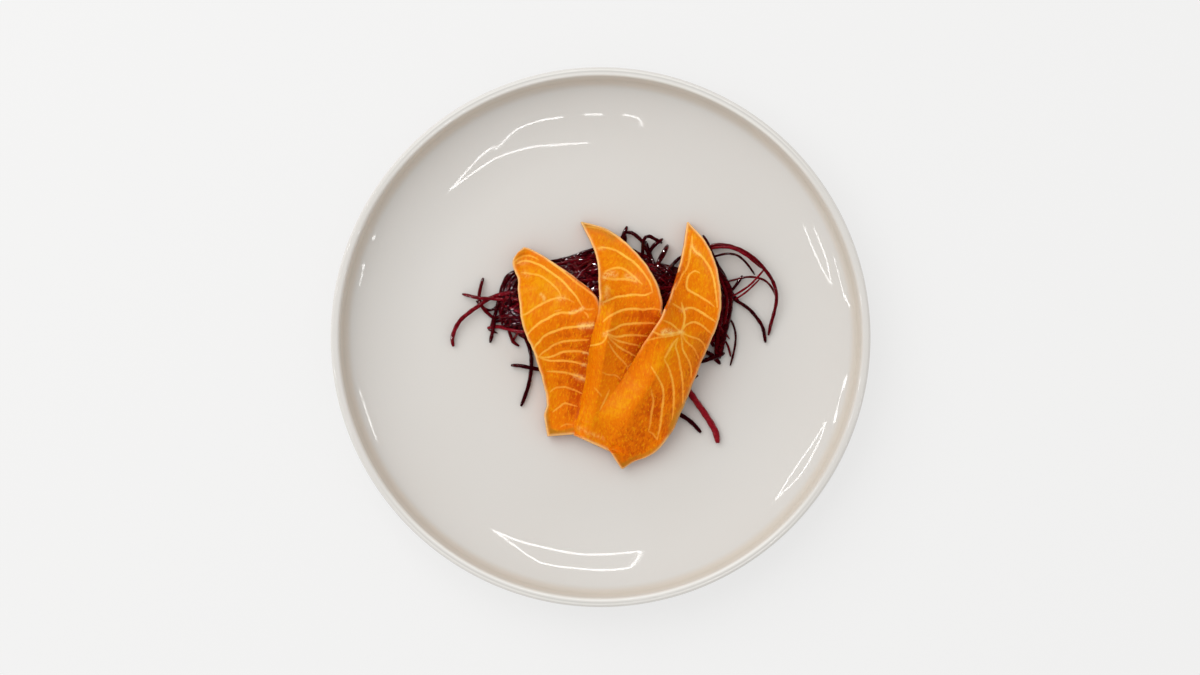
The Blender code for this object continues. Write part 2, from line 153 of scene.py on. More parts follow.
class Graph:
    """The node tree of one material around a Principled shader."""

    def __init__(self, name: str) -> None:
        """Start a material.

        Args:
            name: Name of the material.
        """
        self.material = bpy.data.materials.new(name)
        self.material.use_nodes = True
        self.tree = self.material.node_tree
        self.shader = self.tree.nodes["Principled BSDF"]

    def node(
        self,
        kind: str,
        settings: dict[str, object] | None = None,
        sockets: dict[int | str, object] | None = None,
        output: int | str = 0,
    ) -> Signal:
        """Add a node.

        Args:
            kind: Blender's type name of the node.
            settings: Its properties, set first.
            sockets: Values or signals of its inputs, by name or number.
            output: Name or number of the output that is wanted.

        Returns:
            The wanted output.
        """
        made = self.tree.nodes.new(kind)
        for name, value in (settings or {}).items():
            setattr(made, name, value)
        for name, value in (sockets or {}).items():
            self.feed(made.inputs[name], value)
        return Signal(self, made.outputs[output])

    def feed(self, socket: bpy.types.NodeSocket, value: object) -> None:
        """Link a signal to a socket, or set its value.

        Args:
            socket: Input socket.
            value: A signal, a number, or three numbers.
        """
        if isinstance(value, Signal):
            self.tree.links.new(value.socket, socket)
        elif isinstance(value, tuple) and len(value) < len(socket.default_value):
            socket.default_value = (*value, 1.0)
        else:
            socket.default_value = value

    def dress(self, **sockets: object) -> bpy.types.Material:
        """Set the Principled shader's inputs.

        Args:
            **sockets: Values or signals by socket name, with _ for each space.

        Returns:
            The finished material.
        """
        for name, value in sockets.items():
            self.feed(self.shader.inputs[name.replace("_", " ")], value)
        return self.material

    def place(self) -> Signal:
        """Object coordinates, in metres."""
        return self.node("ShaderNodeTexCoord", output="Object")

    def part_of(self, where: Signal, axis: str) -> Signal:
        """One of a vector's numbers: X, Y or Z."""
        return self.node("ShaderNodeSeparateXYZ", None, {"Vector": where}, output=axis)

    def from_axis(self, where: Signal) -> Signal:
        """Distance from the plate's axis.

        Args:
            where: Coordinates.

        Returns:
            The distance.
        """
        multiply, length = ({"operation": name} for name in ("MULTIPLY", "LENGTH"))
        flat = self.node("ShaderNodeVectorMath", multiply, {0: where, 1: (1.0, 1.0, 0.0)})
        return self.node("ShaderNodeVectorMath", length, {0: flat}, "Value")

    def stretched(self, where: Signal, scale: Triple, turn: float) -> Signal:
        """Coordinates turned about +Z, then scaled along each axis.

        Args:
            where: Coordinates.
            scale: Factor along each axis.
            turn: Angle in radians.

        Returns:
            The new coordinates.
        """
        turned = self.node("ShaderNodeMapping", None, {"Vector": where, "Rotation": (0, 0, turn)})
        return self.node("ShaderNodeMapping", None, {"Vector": turned, "Scale": scale})

    def noise(self, where: Signal, pattern: Pattern) -> Signal:
        """Noise between 0 and 1.

        Args:
            where: Coordinates.
            pattern: Its size and layers.

        Returns:
            The noise value.
        """
        sockets = {
            "Vector": where,
            "Scale": 1 / pattern.size,
            "Detail": pattern.detail,
            "Roughness": pattern.rough,
        }
        return self.node("ShaderNodeTexNoise", None, sockets)

    def step(self, value: Signal, start: float, end: float) -> Signal:
        """A soft step from 0 at start to 1 at end."""
        sockets = {"Value": value, "From Min": start, "From Max": end}
        return self.node("ShaderNodeMapRange", {"interpolation_type": "SMOOTHSTEP"}, sockets)

    def mix(self, share: object, first: object, second: object) -> Signal:
        """Blend two colours.

        Args:
            share: How much of the second colour shows.
            first: A colour or a signal.
            second: A colour or a signal.

        Returns:
            The blended colour.
        """
        sockets = {0: share, 6: first, 7: second}
        return self.node("ShaderNodeMix", {"data_type": "RGBA"}, sockets, output=2)

    def attribute(self, name: str) -> Signal:
        """The value of a mesh attribute."""
        return self.node("ShaderNodeAttribute", {"attribute_name": name}, output="Fac")

    def bump(self, height: Signal, depth: float) -> Signal:
        """A normal from a height between 0 and 1.

        Args:
            height: The height signal.
            depth: Length that a height of 1 stands for.

        Returns:
            The normal.
        """
        sockets = {"Height": height, "Distance": depth, "Strength": 1.0}
        return self.node("ShaderNodeBump", None, sockets)


# Finishes --------------------------------------------------------------------------


@dataclass(frozen=True)
class Ring:
    """A soft ring about the plate's axis: its middle, half its width and its strength."""

    middle: float
    half: float
    strength: float

    def mask(self, graph: Graph, distance: Signal) -> Signal:
        """1 in the ring's middle, fading to 0 at half its width either side."""
        inside = graph.step(distance, self.middle - self.half, self.middle)
        return inside * (1 - graph.step(distance, self.middle, self.middle + self.half))


@dataclass(frozen=True)
class Glaze:
    """Clear glossy glaze over a warm off-white body, worn bare under the foot.

    The rim's wall carries a darker, browner band: partly thinner glaze, partly painted shade
    on the steep wall. Two pale rings along the lip in front and behind are painted
    highlights for the lip's reflections of a long light, with a darker line between them.
    """

    name: str = "glazed_stoneware"
    body: Colour = (0.716, 0.694, 0.664)
    pooled: Colour = (0.731, 0.716, 0.694)
    # Painted shade: a darker, browner band on the steep rim wall, with some thinner glaze.
    thin_glaze_shade: Colour = (0.705, 0.642, 0.556)
    bare: Colour = (0.60, 0.53, 0.44)
    # Painted highlights: pale rings on the lip for its reflections of a long light, with a darker
    # line between them.
    ring: Colour = (0.900, 0.895, 0.865)
    groove: Colour = (0.600, 0.595, 0.570)
    wall_shade_from: float = 92.6 * MM
    wall_shade_most: float = 96 * MM
    wall_shade_until: float = 97.4 * MM
    cloud: Pattern = Pattern(38 * MM, 1.0)
    grit: Pattern = Pattern(0.4 * MM)
    ripple: Pattern = Pattern(9 * MM, 1.0)
    ripple_depth: float = 0.004 * MM
    inner_highlight: Ring = Ring(97.35 * MM, 0.75 * MM, 0.85)
    outer_highlight: Ring = Ring(98.95 * MM, 0.45 * MM, 0.55)
    lip_dark_line: Ring = Ring(98.35 * MM, 0.26 * MM, 0.8)
    lip_from: float = 19.3 * MM
    lip_blend: float = 1 * MM
    highlights_from: float = 45 * MM
    highlights_blend: float = 35 * MM
    roughness: float = 0.035
    roughness_range: Range = (0.7, 0.6)
    bare_height: float = 0.35 * MM
    bare_roughness: Range = (0.45, 0.3)
    bare_relief: float = 4
    ior: float = 1.5

    def material(self) -> bpy.types.Material:
        """Build the material."""
        graph = Graph(self.name)
        where = graph.place()
        height = graph.part_of(where, "Z")
        distance = graph.from_axis(where)
        glazed = graph.step(height, self.bare_height, 2 * self.bare_height)
        cloud = graph.noise(where, self.cloud)
        grit = graph.noise(where, self.grit)
        # A darker band round the rim's wall: partly thinner glaze, partly painted shade.
        wall_shaded = graph.step(distance, self.wall_shade_from, self.wall_shade_most)
        wall_shaded = wall_shaded * (1 - graph.step(distance, self.wall_shade_most, self.wall_shade_until))
        surface = graph.mix(cloud, self.body, self.pooled)
        surface = graph.mix(wall_shaded, surface, self.thin_glaze_shade)
        # Painted highlights on the lip, only in front and behind where a long light is mirrored,
        # with a darker line between them.
        across = graph.part_of(where, "Y")
        aside = graph.node("ShaderNodeMath", {"operation": "ABSOLUTE"}, {0: across})
        on_lip = graph.step(height, self.lip_from, self.lip_from + self.lip_blend)
        on_lip = on_lip * graph.step(aside, self.highlights_from, self.highlights_from + self.highlights_blend)
        inner, outer = (
            ring.mask(graph, distance) * ring.strength
            for ring in (self.inner_highlight, self.outer_highlight)
        )
        surface = graph.mix((inner + outer) * on_lip, surface, self.ring)
        groove = self.lip_dark_line.mask(graph, distance) * on_lip * self.lip_dark_line.strength
        surface = graph.mix(groove, surface, self.groove)
        least, swing = self.roughness_range
        worn, grain = self.bare_roughness
        rough = self.roughness * (least + swing * cloud) + (1 - glazed) * (worn + grain * grit)
        relief = graph.noise(where, self.ripple) + (1 - glazed) * grit * self.bare_relief
        return graph.dress(
            Base_Color=graph.mix(glazed, self.bare, surface),
            Roughness=rough,
            Normal=graph.bump(relief, self.ripple_depth),
            IOR=self.ior,
        )


@dataclass(frozen=True)
class SalmonFlesh:
    """Moist raw fish: orange muscle with pale sheets of fat that show as thin lines.

    A name that ends in range is where a soft step starts and ends, one in gain is how much
    a pattern counts, one in mean is the value of a pattern that changes nothing, and one in
    share is how much of a colour shows at most.
    """

    name: str = "raw_salmon"
    # deep and light follow the drawn tone, which is partly the flesh's own tone and partly painted
    # shade and painted highlight.
    deep: Colour = (0.570, 0.075, 0.0008)
    flesh: Colour = (0.810, 0.185, 0.0012)
    light: Colour = (0.860, 0.318, 0.0016)
    # Gold specks: partly the flesh's grain, partly painted glints for its tiny highlights.
    gold_grain_and_glint: Colour = (0.900, 0.400, 0.003)
    fat: Colour = (1.000, 0.530, 0.068)
    # Fat in painted shade: fat lines darken where the drawn tone is low.
    fat_in_shade: Colour = (0.980, 0.380, 0.045)
    cream: Colour = (1.000, 0.670, 0.215)
    # Painted highlight: a pale line along the cut edge, for the light that the edge catches.
    edge_highlight: Colour = (1.000, 0.700, 0.310)
    # Olive tint: partly drier flesh, partly painted shade along edges and walls.
    olive_dry_and_shade: Colour = (0.440, 0.190, 0.014)
    fibre_stretch: Triple = (1.0, 0.42, 1.0)
    fibre_turn: float = math.radians(12)
    grain: Pattern = Pattern(0.95 * MM, 3.0, 0.65)
    speck: Pattern = Pattern(0.70 * MM, 2.0, 0.6)
    cloud: Pattern = Pattern(6 * MM)
    fray: Pattern = Pattern(0.9 * MM, 2.0, 0.6)
    patch: Pattern = Pattern(3.5 * MM, 1.0)
    speck_range: Range = (0.54, 0.68)
    grain_glint_share: float = 0.50
    patch_least: float = 0.55
    patch_gain: float = 0.9
    fray_gain: float = 1.3
    line_range: Range = (0.3, 1.35)
    cloud_gain: float = 0.7
    grain_mean: float = 0.48
    grain_gain: float = 2.5
    deep_range: Range = (-1.15, 0.0)
    light_range: Range = (0.0, 1.0)
    dry_and_shade_cloud_gain: float = 0.4
    dry_and_shade_range: Range = (0.0, 1.1)
    dry_and_shade_share: float = 0.8
    fat_shade_range: Range = (-0.9, 0.5)
    cream_range: Range = (0.36, 0.60)
    edge_highlight_range: Range = (-1.1, -0.6)
    edge_highlight_share: float = 0.95
    roughness: float = 0.34
    grain_roughness: float = 0.25
    fat_gloss: float = 0.04
    relief_gains: Triple = (0.6, 0.2, 0.2)
    grain_depth: float = 0.16 * MM
    ior: float = 1.38
    sheen: float = 0.062
    subsurface: float = 0.10
    scatter_depth: float = 1.6 * MM
    scatter_colour: Colour = (1.0, 0.45, 0.12)

    def material(self) -> bpy.types.Material:
        """Build the material from the attributes that the slices carry."""
        graph = Graph(self.name)
        where = graph.place()
        fibres = graph.stretched(where, self.fibre_stretch, self.fibre_turn)
        grain = graph.noise(fibres, self.grain)
        specks = graph.step(graph.noise(fibres, self.speck), *self.speck_range)
        cloud = graph.noise(where, self.cloud)
        fray = graph.noise(where, self.fray)
        patchy = graph.noise(where, self.patch)
        # The drawn tone holds painted light and shade as well as the flesh's own tone.
        drawn_light_shade = graph.attribute("tone")
        tone = drawn_light_shade + (cloud - NOISE_MEAN) * self.cloud_gain
        tone = tone + (grain - self.grain_mean) * self.grain_gain
        muscle = graph.mix(graph.step(tone, *self.deep_range), self.deep, self.flesh)
        muscle = graph.mix(graph.step(tone, *self.light_range), muscle, self.light)
        # Gold specks: partly grain, partly painted glints.
        muscle = graph.mix(specks * self.grain_glint_share, muscle, self.gold_grain_and_glint)
        # Olive tint: partly drier flesh, partly painted shade along the edges.
        dry = graph.attribute("dry") + (cloud - NOISE_MEAN) * self.dry_and_shade_cloud_gain
        dry = graph.step(dry, *self.dry_and_shade_range)
        muscle = graph.mix(dry * self.dry_and_shade_share, muscle, self.olive_dry_and_shade)
        gap = graph.attribute("fat_gap") + (fray - NOISE_MEAN) * self.fray_gain
        share = graph.attribute("fat_share") * (self.patch_least + self.patch_gain * patchy)
        line = (1 - graph.step(gap, *self.line_range)) * share
        # Fat lines darken with the drawn tone, so they follow its painted shade.
        fat = graph.mix(graph.step(drawn_light_shade, *self.fat_shade_range), self.fat_in_shade, self.fat)
        marked = graph.mix(line, muscle, fat)
        flecks = graph.step(grain * 0.5 + fray * 0.5, *self.cream_range)
        marked = graph.mix(graph.attribute("cream") * flecks, marked, self.cream)
        # Painted highlight along the cut edge, left out where the tone is dark.
        rim = graph.attribute("rim") * graph.step(drawn_light_shade, *self.edge_highlight_range)
        of_grain, of_fray, of_specks = self.relief_gains
        relief = grain * of_grain + fray * of_fray + specks * of_specks
        rough = self.roughness + (grain - NOISE_MEAN) * self.grain_roughness
        return graph.dress(
            Base_Color=graph.mix(rim * self.edge_highlight_share, marked, self.edge_highlight),
            Roughness=rough - line * self.fat_gloss,
            Normal=graph.bump(relief, self.grain_depth),
            IOR=self.ior,
            Specular_IOR_Level=self.sheen,
            Subsurface_Weight=self.subsurface,
            Subsurface_Radius=self.scatter_colour,
            Subsurface_Scale=self.scatter_depth,
        )


@dataclass(frozen=True)
class BeetFlesh:
    """Moist raw beetroot, near black to deep red, with wet patches.

    Names that end in range, gain and mean are as in the salmon's finish.
    """

    name: str = "raw_beetroot"
    black: Colour = (0.0230, 0.0003, 0.0020)
    wine: Colour = (0.098, 0.0010, 0.0040)
    red: Colour = (0.235, 0.0065, 0.0150)
    bright: Colour = (0.420, 0.0330, 0.0300)
    wine_range: Range = (0.0, 0.5)
    red_range: Range = (0.5, 1.0)
    bright_range: Range = (1.0, 1.7)
    streak: Pattern = Pattern(0.8 * MM, 3.0, 0.6)
    cloud: Pattern = Pattern(5 * MM, 1.0)
    wet: Pattern = Pattern(2.6 * MM, 1.0)
    cloud_gain: float = 0.5
    streak_gain: float = 1.6
    streak_depth: float = 0.14 * MM
    streak_mean: float = 0.4
    streak_roughness: float = 0.15
    wet_range: Range = (0.51, 0.58)
    roughness: float = 0.12
    inner_roughness: float = 0.55
    film_roughness: float = 0.05
    film: float = 0.85
    sheen: float = 0.09
    ior: float = 1.42

    def material(self) -> bpy.types.Material:
        """Build the material from the attributes tint and inner."""
        graph = Graph(self.name)
        where = graph.place()
        streak = graph.noise(where, self.streak)
        cloud = graph.noise(where, self.cloud)
        tint = graph.attribute("tint") + (cloud - NOISE_MEAN) * self.cloud_gain
        tint = tint + (streak - NOISE_MEAN) * self.streak_gain
        colour = graph.mix(graph.step(tint, *self.wine_range), self.black, self.wine)
        colour = graph.mix(graph.step(tint, *self.red_range), colour, self.red)
        colour = graph.mix(graph.step(tint, *self.bright_range), colour, self.bright)
        inner = graph.attribute("inner")
        wet = graph.step(graph.noise(where, self.wet), *self.wet_range)
        rough = self.roughness + (streak - self.streak_mean) * self.streak_roughness
        return graph.dress(
            Base_Color=colour,
            Roughness=rough + inner * self.inner_roughness,
            Normal=graph.bump(streak, self.streak_depth),
            IOR=self.ior,
            Specular_IOR_Level=self.sheen,
            Coat_Weight=wet * (1 - inner) * self.film,
            Coat_Roughness=self.film_roughness,
        )


@dataclass(frozen=True)
class PaleFloor:
    """The plain pale floor, partly self-lit so that it stays even."""

    name: str = "pale_floor"
    colour: Colour = (0.25, 0.25, 0.25)
    glow: float = 0.635

    def material(self) -> bpy.types.Material:
        """Build the material."""
        return Graph(self.name).dress(
            Base_Color=self.colour,
            Roughness=1.0,
            Specular_IOR_Level=0.0,
            Emission_Color=(1.0, 1.0, 1.0),
            Emission_Strength=self.glow,
        )


# Meshes ----------------------------------------------------------------------------


def mesh_from(bm: bmesh.types.BMesh, name: str) -> bpy.types.Mesh:
    """Turn a bmesh into a smooth-shaded mesh whose faces point outwards.

    Args:
        bm: The bmesh, which is freed.
        name: Name of the mesh.

    Returns:
        The mesh.
    """
    bmesh.ops.recalc_face_normals(bm, faces=bm.faces)
    mesh = bpy.data.meshes.new(name)
    bm.to_mesh(mesh)
    bm.free()
    mesh.shade_smooth()
    return mesh


def add_object(mesh: bpy.types.Mesh, material: bpy.types.Material) -> bpy.types.Object:
    """Put a mesh into the scene under its own name.

    Args:
        mesh: The mesh.
        material: Its material.

    Returns:
        The object.
    """
    mesh.materials.clear()
    mesh.materials.append(material)
    made = bpy.data.objects.new(mesh.name, mesh)
    bpy.context.scene.collection.objects.link(made)
    return made


def add_piece(
    mesh: bpy.types.Mesh, material: bpy.types.Material, node: Node, slot: Slot
) -> bpy.types.Object:
    """Put a piece of the dish into the scene in place of its solid.

    Args:
        mesh: The piece's mesh.
        material: Its material.
        node: The solid that it stands for.
        slot: A material slot of the dish; not used.

    Returns:
        The object.
    """
    piece = add_object(mesh, material)
    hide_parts(node.value)
    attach(piece, BODY)
    return piece


def corners_of(mesh: bpy.types.Mesh) -> np.ndarray:
    """A mesh's vertices.

    Args:
        mesh: The mesh.

    Returns:
        Rows of x, y, z.
    """
    flat = np.empty(len(mesh.vertices) * 3)
    mesh.vertices.foreach_get("co", flat)
    return flat.reshape(-1, 3)


def set_attribute(mesh: bpy.types.Mesh, name: str, values: np.ndarray) -> None:
    """Store one number for each vertex.

    Args:
        mesh: The mesh.
        name: Name that a shader reads it by.
        values: The numbers, in the order of the vertices.
    """
    layer = mesh.attributes.new(name, "FLOAT", "POINT")
    layer.data.foreach_set("value", np.ascontiguousarray(values, np.float32))


def arc(centre: Point, radius: float, start: float, end: float, steps: int) -> list[Point]:
    """Points of an arc in (distance from the axis, height).

    Args:
        centre: The arc's centre.
        radius: Its radius.
        start: First angle from straight down, in radians.
        end: Last angle.
        steps: Number of straight pieces.

    Returns:
        The points.
    """
    angles = [start + (end - start) * i / steps for i in range(steps + 1)]
    return [(centre[0] + radius * math.sin(a), centre[1] - radius * math.cos(a)) for a in angles]


def pairs(*numbers: float) -> Points:
    """Plan points from their numbers: x, y, x, y and so on."""
    return tuple(zip(numbers[::2], numbers[1::2]))


def smooth_route(points: Points, step: float) -> list[Vector]:
    """Points about a step apart on a smooth plan curve.

    Args:
        points: Plan points that it passes, in mm.
        step: Distance between the new points.

    Returns:
        The new points at height 0.
    """
    knots = [Vector((x, y, 0)) * MM for x, y in points]
    last = len(knots) - 1
    slopes = [(knots[min(i + 1, last)] - knots[max(i - 1, 0)]) / 2 for i in range(len(knots))]
    route = [knots[0]]
    for i in range(last):
        count = max(2, round((knots[i + 1] - knots[i]).length / step) + 1)
        leave = knots[i] + slopes[i] / 3
        arrive = knots[i + 1] - slopes[i + 1] / 3
        route += interpolate_bezier(knots[i], leave, arrive, knots[i + 1], count)[1:]
    return route


# Plate -----------------------------------------------------------------------------


@dataclass(frozen=True)
class Plate:
    """A round plate: a flat well that curves up to a low upright rim.

    foot_gap and foot_ease are shares of foot_round: how far outside the foot the underside's
    curve ends, and where the foot's side meets it. steepest is the sine of the steepest slope.
    """

    radius: float = 100 * MM
    height: float = 21 * MM
    turns: int = 256
    floor_height: float = 6 * MM
    floor_thickness: float = 4 * MM
    flat_radius: float = 64 * MM
    curve_radius: float = 75 * MM
    edge_radius: float = 93 * MM
    rim_fillet: float = 4.5 * MM
    rim_thickness: float = 3.4 * MM
    rim_lean: float = math.radians(8)
    lip_round: float = 1.3 * MM
    shoulder_fillet: float = 8 * MM
    shoulder_radius: float = 94.5 * MM
    foot_radius: float = 66 * MM
    foot_width: float = 6 * MM
    foot_round: float = 0.8 * MM
    foot_gap: float = 1.5
    foot_ease: Pair = (0.3, 0.2)
    steepest: float = 0.99
    curve_steps: int = 24
    fillet_steps: int = 14
    lip_steps: int = 8
    foot_steps: int = 5
    floor_rings: tuple[float, ...] = (0, 20 * MM, 42 * MM)
    finish: Glaze = Glaze()

    def slope_at(self, distance: float) -> float:
        """Slope of the plate's upper face.

        Args:
            distance: Distance from the axis.

        Returns:
            Its angle from level, in radians.
        """
        on_curve = min(max(distance, self.flat_radius), self.edge_radius)
        slow = (on_curve - self.flat_radius) / self.curve_radius
        if distance <= self.edge_radius:
            return math.asin(slow)
        turn_centre = self.edge_radius - self.rim_fillet * slow
        return math.asin(min((distance - turn_centre) / self.rim_fillet, self.steepest))

    def well_height(self, distance: float) -> float:
        """Height of the well's upper face.

        Args:
            distance: Distance from the axis.

        Returns:
            Its height.
        """
        slope = self.slope_at(min(distance, self.edge_radius))
        return self.floor_height + self.curve_radius * (1 - math.cos(slope))

    def section_of(self, base: float, edge: float, fillet: float, lean: float) -> list[Point]:
        """A slow curve out from the flat floor, then a fillet up to the rim's wall.

        Args:
            base: The slow curve's radius about a centre over the flat's edge.
            edge: Distance from the axis where the fillet starts.
            fillet: The fillet's radius.
            lean: Angle of the wall from upright.

        Returns:
            Points in (distance from the axis, height).
        """
        centre = (self.flat_radius, self.floor_height + self.curve_radius)
        slope = math.asin((edge - self.flat_radius) / base)
        slow = arc(centre, base, 0, slope, self.curve_steps)
        turn_centre = (
            slow[-1][0] - fillet * math.sin(slope),
            slow[-1][1] + fillet * math.cos(slope),
        )
        return slow + arc(turn_centre, fillet, slope, math.pi / 2 - lean, self.fillet_steps)[1:]

    def section(self) -> list[Point]:
        """The plate's section, from the middle of the well over the rim and back below.

        Returns:
            Points in (distance from the axis, height).
        """
        well = self.section_of(self.curve_radius, self.edge_radius, self.rim_fillet, self.rim_lean)
        below = self.section_of(
            self.curve_radius + self.floor_thickness, self.shoulder_radius, self.shoulder_fillet, 0
        )
        quarter = math.pi / 2
        inner_lip = self.radius - self.rim_thickness + self.lip_round
        outer_lip = self.radius - self.lip_round
        lip_height = self.height - self.lip_round
        lip = [
            *arc((inner_lip, lip_height), -self.lip_round, quarter, 0, self.lip_steps),
            *arc((outer_lip, lip_height), -self.lip_round, 0, -quarter, self.lip_steps),
        ]
        underside = self.floor_height - self.floor_thickness
        foot_inner = self.foot_radius - self.foot_width
        rounded = self.foot_round
        foot_end = self.foot_radius + self.foot_gap * rounded
        first_below = [p for p in below if p[0] > foot_end]
        aside, down = (share * rounded for share in self.foot_ease)
        foot = [
            (self.foot_radius + aside, first_below[0][1] - down),
            *arc((self.foot_radius - rounded, rounded), rounded, quarter, 0, self.foot_steps),
            *arc((foot_inner + rounded, rounded), rounded, 0, -quarter, self.foot_steps),
            (foot_inner - rounded, underside),
        ]
        inner_floor = [(x, self.floor_height) for x in self.floor_rings]
        outer_floor = [(x, underside) for x in self.floor_rings[::-1]]
        return inner_floor + well + lip + first_below[::-1] + foot + outer_floor

    def build(self) -> bpy.types.Object:
        """Turn the section about the plate's axis.

        Returns:
            The plate.
        """
        bm = bmesh.new()
        corners = [bm.verts.new((distance, 0, height)) for distance, height in self.section()]
        edges = [bm.edges.new(pair) for pair in zip(corners, corners[1:])]
        bmesh.ops.spin(
            bm,
            geom=corners + edges,
            cent=(0, 0, 0),
            axis=(0, 0, 1),
            angle=2 * math.pi,
            steps=self.turns,
            use_merge=True,
        )
        bmesh.ops.remove_doubles(bm, verts=bm.verts, dist=WELD)
        mesh = mesh_from(bm, "plate_glazed")
        return add_piece(mesh, self.finish.material(), Node.PLATE, Slot.GLAZE)


# Salmon ----------------------------------------------------------------------------

# Steps along a line and an edge, and the fat_gap of flesh without fat lines.
LINE_STEP = 0.8 * MM
EDGE_STEP = 0.5 * MM
NO_LINE = 50.0


class Mark(Enum):
    """What a stroke on a slice changes; the value names the mesh attribute."""

    # Lighter and darker flesh: partly its own tone, partly painted light and painted shade.
    TONE = "tone"
    CREAM = "cream"
    # An olive tint: partly drier flesh, partly painted shade along edges and walls.
    DRY = "dry"


@dataclass(frozen=True)
class FatLine:
    """A sheet of fat that shows as a pale line: plan points and half width in mm."""

    points: Points
    half_width: float
    strength: float


@dataclass(frozen=True)
class Stroke:
    """A soft stroke that lightens (amount over 0), darkens, creams or dries the flesh.

    Its plan points and half width are in mm. A tone stroke is partly the flesh's own tone
    and partly painted light and shade; an olive stroke is partly drier flesh and partly
    painted shade.
    """

    points: Points
    half_width: float
    amount: float
    mark: Mark


def fat_lines(*rows: tuple[float, ...]) -> tuple[FatLine, ...]:
    """Fat lines from rows of half width, strength and the points' x, y, x, y and so on."""
    return tuple(FatLine(pairs(*row[2:]), *row[:2]) for row in rows)


def strokes(mark: Mark, *rows: tuple[float, ...]) -> tuple[Stroke, ...]:
    """Strokes from rows of half width, amount and the points' x, y, x, y and so on."""
    return tuple(Stroke(pairs(*row[2:]), *row[:2], mark) for row in rows)


@dataclass(frozen=True)
class Feather:
    """A stretch of a slice's left edge that comes down onto the slice below it.

    start and end are shares of the length, width is in mm, and drop is how far the edge
    comes down, as a share of the way. spread and fade count rounds of smoothing.
    """

    start: float
    end: float
    width: float
    drop: float
    power: float = 1.15
    near_ramp: float = 0.08
    far_ramp: float = 0.30
    lift: float = 0.03 * MM
    spread: int = 5
    fade: int = 24

    def share(self, rows: np.ndarray, inset: np.ndarray) -> np.ndarray:
        """How far the top has come down over the grid, from 0 to 1.

        Args:
            rows: Shares of the length.
            inset: Distance from the left edge over the grid, in metres.

        Returns:
            The shares.
        """
        rise = np.clip((rows - self.start) / self.near_ramp, 0, 1)
        rise = rise * np.clip((self.end - rows) / self.far_ramp, 0, 1)
        across = 1 - np.clip(inset / (self.width * MM), 0, 1)
        return self.drop * (rise * rise * (3 - 2 * rise))[:, None] * across**self.power

    def landing(
        self, plan: np.ndarray, below: bpy.types.Object, top: np.ndarray
    ) -> tuple[np.ndarray, np.ndarray]:
        """The top of the slice below, carried on level beyond its right edge.

        Args:
            plan: Plan points over the grid.
            below: The slice below.
            top: Heights for the rows that don't reach it.

        Returns:
            Heights over the grid, and how far each row lies on it, from 0 to 1.
        """
        tree = BVHTree.FromObject(below, bpy.context.evaluated_depsgraph_get())
        found = top.copy()
        over = np.zeros((len(top), 1))
        for row, spots in enumerate(plan):
            hits = [tree.ray_cast(Vector((*spot, OVERHEAD)), DOWN)[0] for spot in spots]
            met = [column for column, hit in enumerate(hits) if hit is not None]
            if met:
                heights = [hits[column].z + self.lift for column in met]
                found[row] = np.interp(np.arange(len(spots)), met, heights)
                over[row] = 1
        for _ in range(self.spread):
            found[:, 1:-1] = (found[:, :-2] + 2 * found[:, 1:-1] + found[:, 2:]) / 4
            found[1:-1] = (found[:-2] + 2 * found[1:-1] + found[2:]) / 4
        for _ in range(self.fade):
            over[1:-1] = (over[:-2] + 2 * over[1:-1] + over[2:]) / 4
        return found, over


def measured(points: Points, step: float) -> tuple[np.ndarray, np.ndarray]:
    """A smooth plan curve's points, and how far along it each lies.

    Args:
        points: Plan points that it passes, in mm.
        step: Distance between the new points.

    Returns:
        Rows of x, y in metres, and the lengths from the first point.
    """
    route = np.array([tuple(p.xy) for p in smooth_route(points, step)])
    pieces = np.linalg.norm(np.diff(route, axis=0), axis=1)
    return route, np.concatenate([[0], np.cumsum(pieces)])


def near_line(plan: np.ndarray, points: Points) -> tuple[np.ndarray, np.ndarray, np.ndarray]:
    """Distance of plan points from a smooth line, and where the nearest place on it is.

    Args:
        plan: Rows of x, y in metres.
        points: Plan points of the line, in mm.

    Returns:
        The distances in mm, the shares of the line's length, and the side, over 0 to the left.
    """
    route, run = measured(points, LINE_STEP)
    nearest = np.full(len(plan), np.inf)
    along = np.zeros(len(plan))
    side = np.zeros(len(plan))
    for start, end, begun, done in zip(route, route[1:], run, run[1:]):
        step = end - start
        offset = plan - start
        share = np.clip(offset @ step / (step @ step), 0, 1)
        gap = np.linalg.norm(offset - share[:, None] * step, axis=1)
        closer = gap < nearest
        nearest[closer] = gap[closer]
        along[closer] = (begun + share[closer] * (done - begun)) / run[-1]
        side[closer] = step[0] * offset[closer, 1] - step[1] * offset[closer, 0]
    return nearest / MM, along, side


def bunched(even: np.ndarray, share: float) -> np.ndarray:
    """Shares from 0 to 1 that lie closer together towards both ends.

    Args:
        even: Evenly spaced shares.
        share: How much of the way they move towards a cosine's spacing.

    Returns:
        The new shares.
    """
    return (1 - share) * even + share * (1 - np.cos(math.pi * even)) / 2


def resample(grid: np.ndarray, places: np.ndarray) -> np.ndarray:
    """Read a grid's rows at fractional row numbers, smoothly.

    Args:
        grid: The grid.
        places: Row numbers with fractions.

    Returns:
        The new rows.
    """
    last = len(grid) - 1
    row = np.clip(places.astype(int), 0, last - 1)
    share = (places - row)[:, None]
    before, start, end, after = (
        grid[np.clip(row + offset, 0, last)] for offset in (-1, 0, 1, 2)
    )
    before = np.where((row == 0)[:, None], 2 * start - end, before)
    after = np.where((row == last - 1)[:, None], 2 * end - start, after)
    cubic = share * (3 * (start - end) + after - before)
    square = share * (2 * before - 5 * start + 4 * end - after + cubic)
    return start + share / 2 * (end - before + square)


def ripples(plan: np.ndarray, size: float) -> np.ndarray:
    """Smooth noise between about -1 and 1 over plan points.

    Args:
        plan: Rows of x, y in metres.
        size: Width of its features.

    Returns:
        One value for each point.
    """
    return np.array([noise.noise(Vector((x / size, y / size, size / MM))) for x, y in plan])


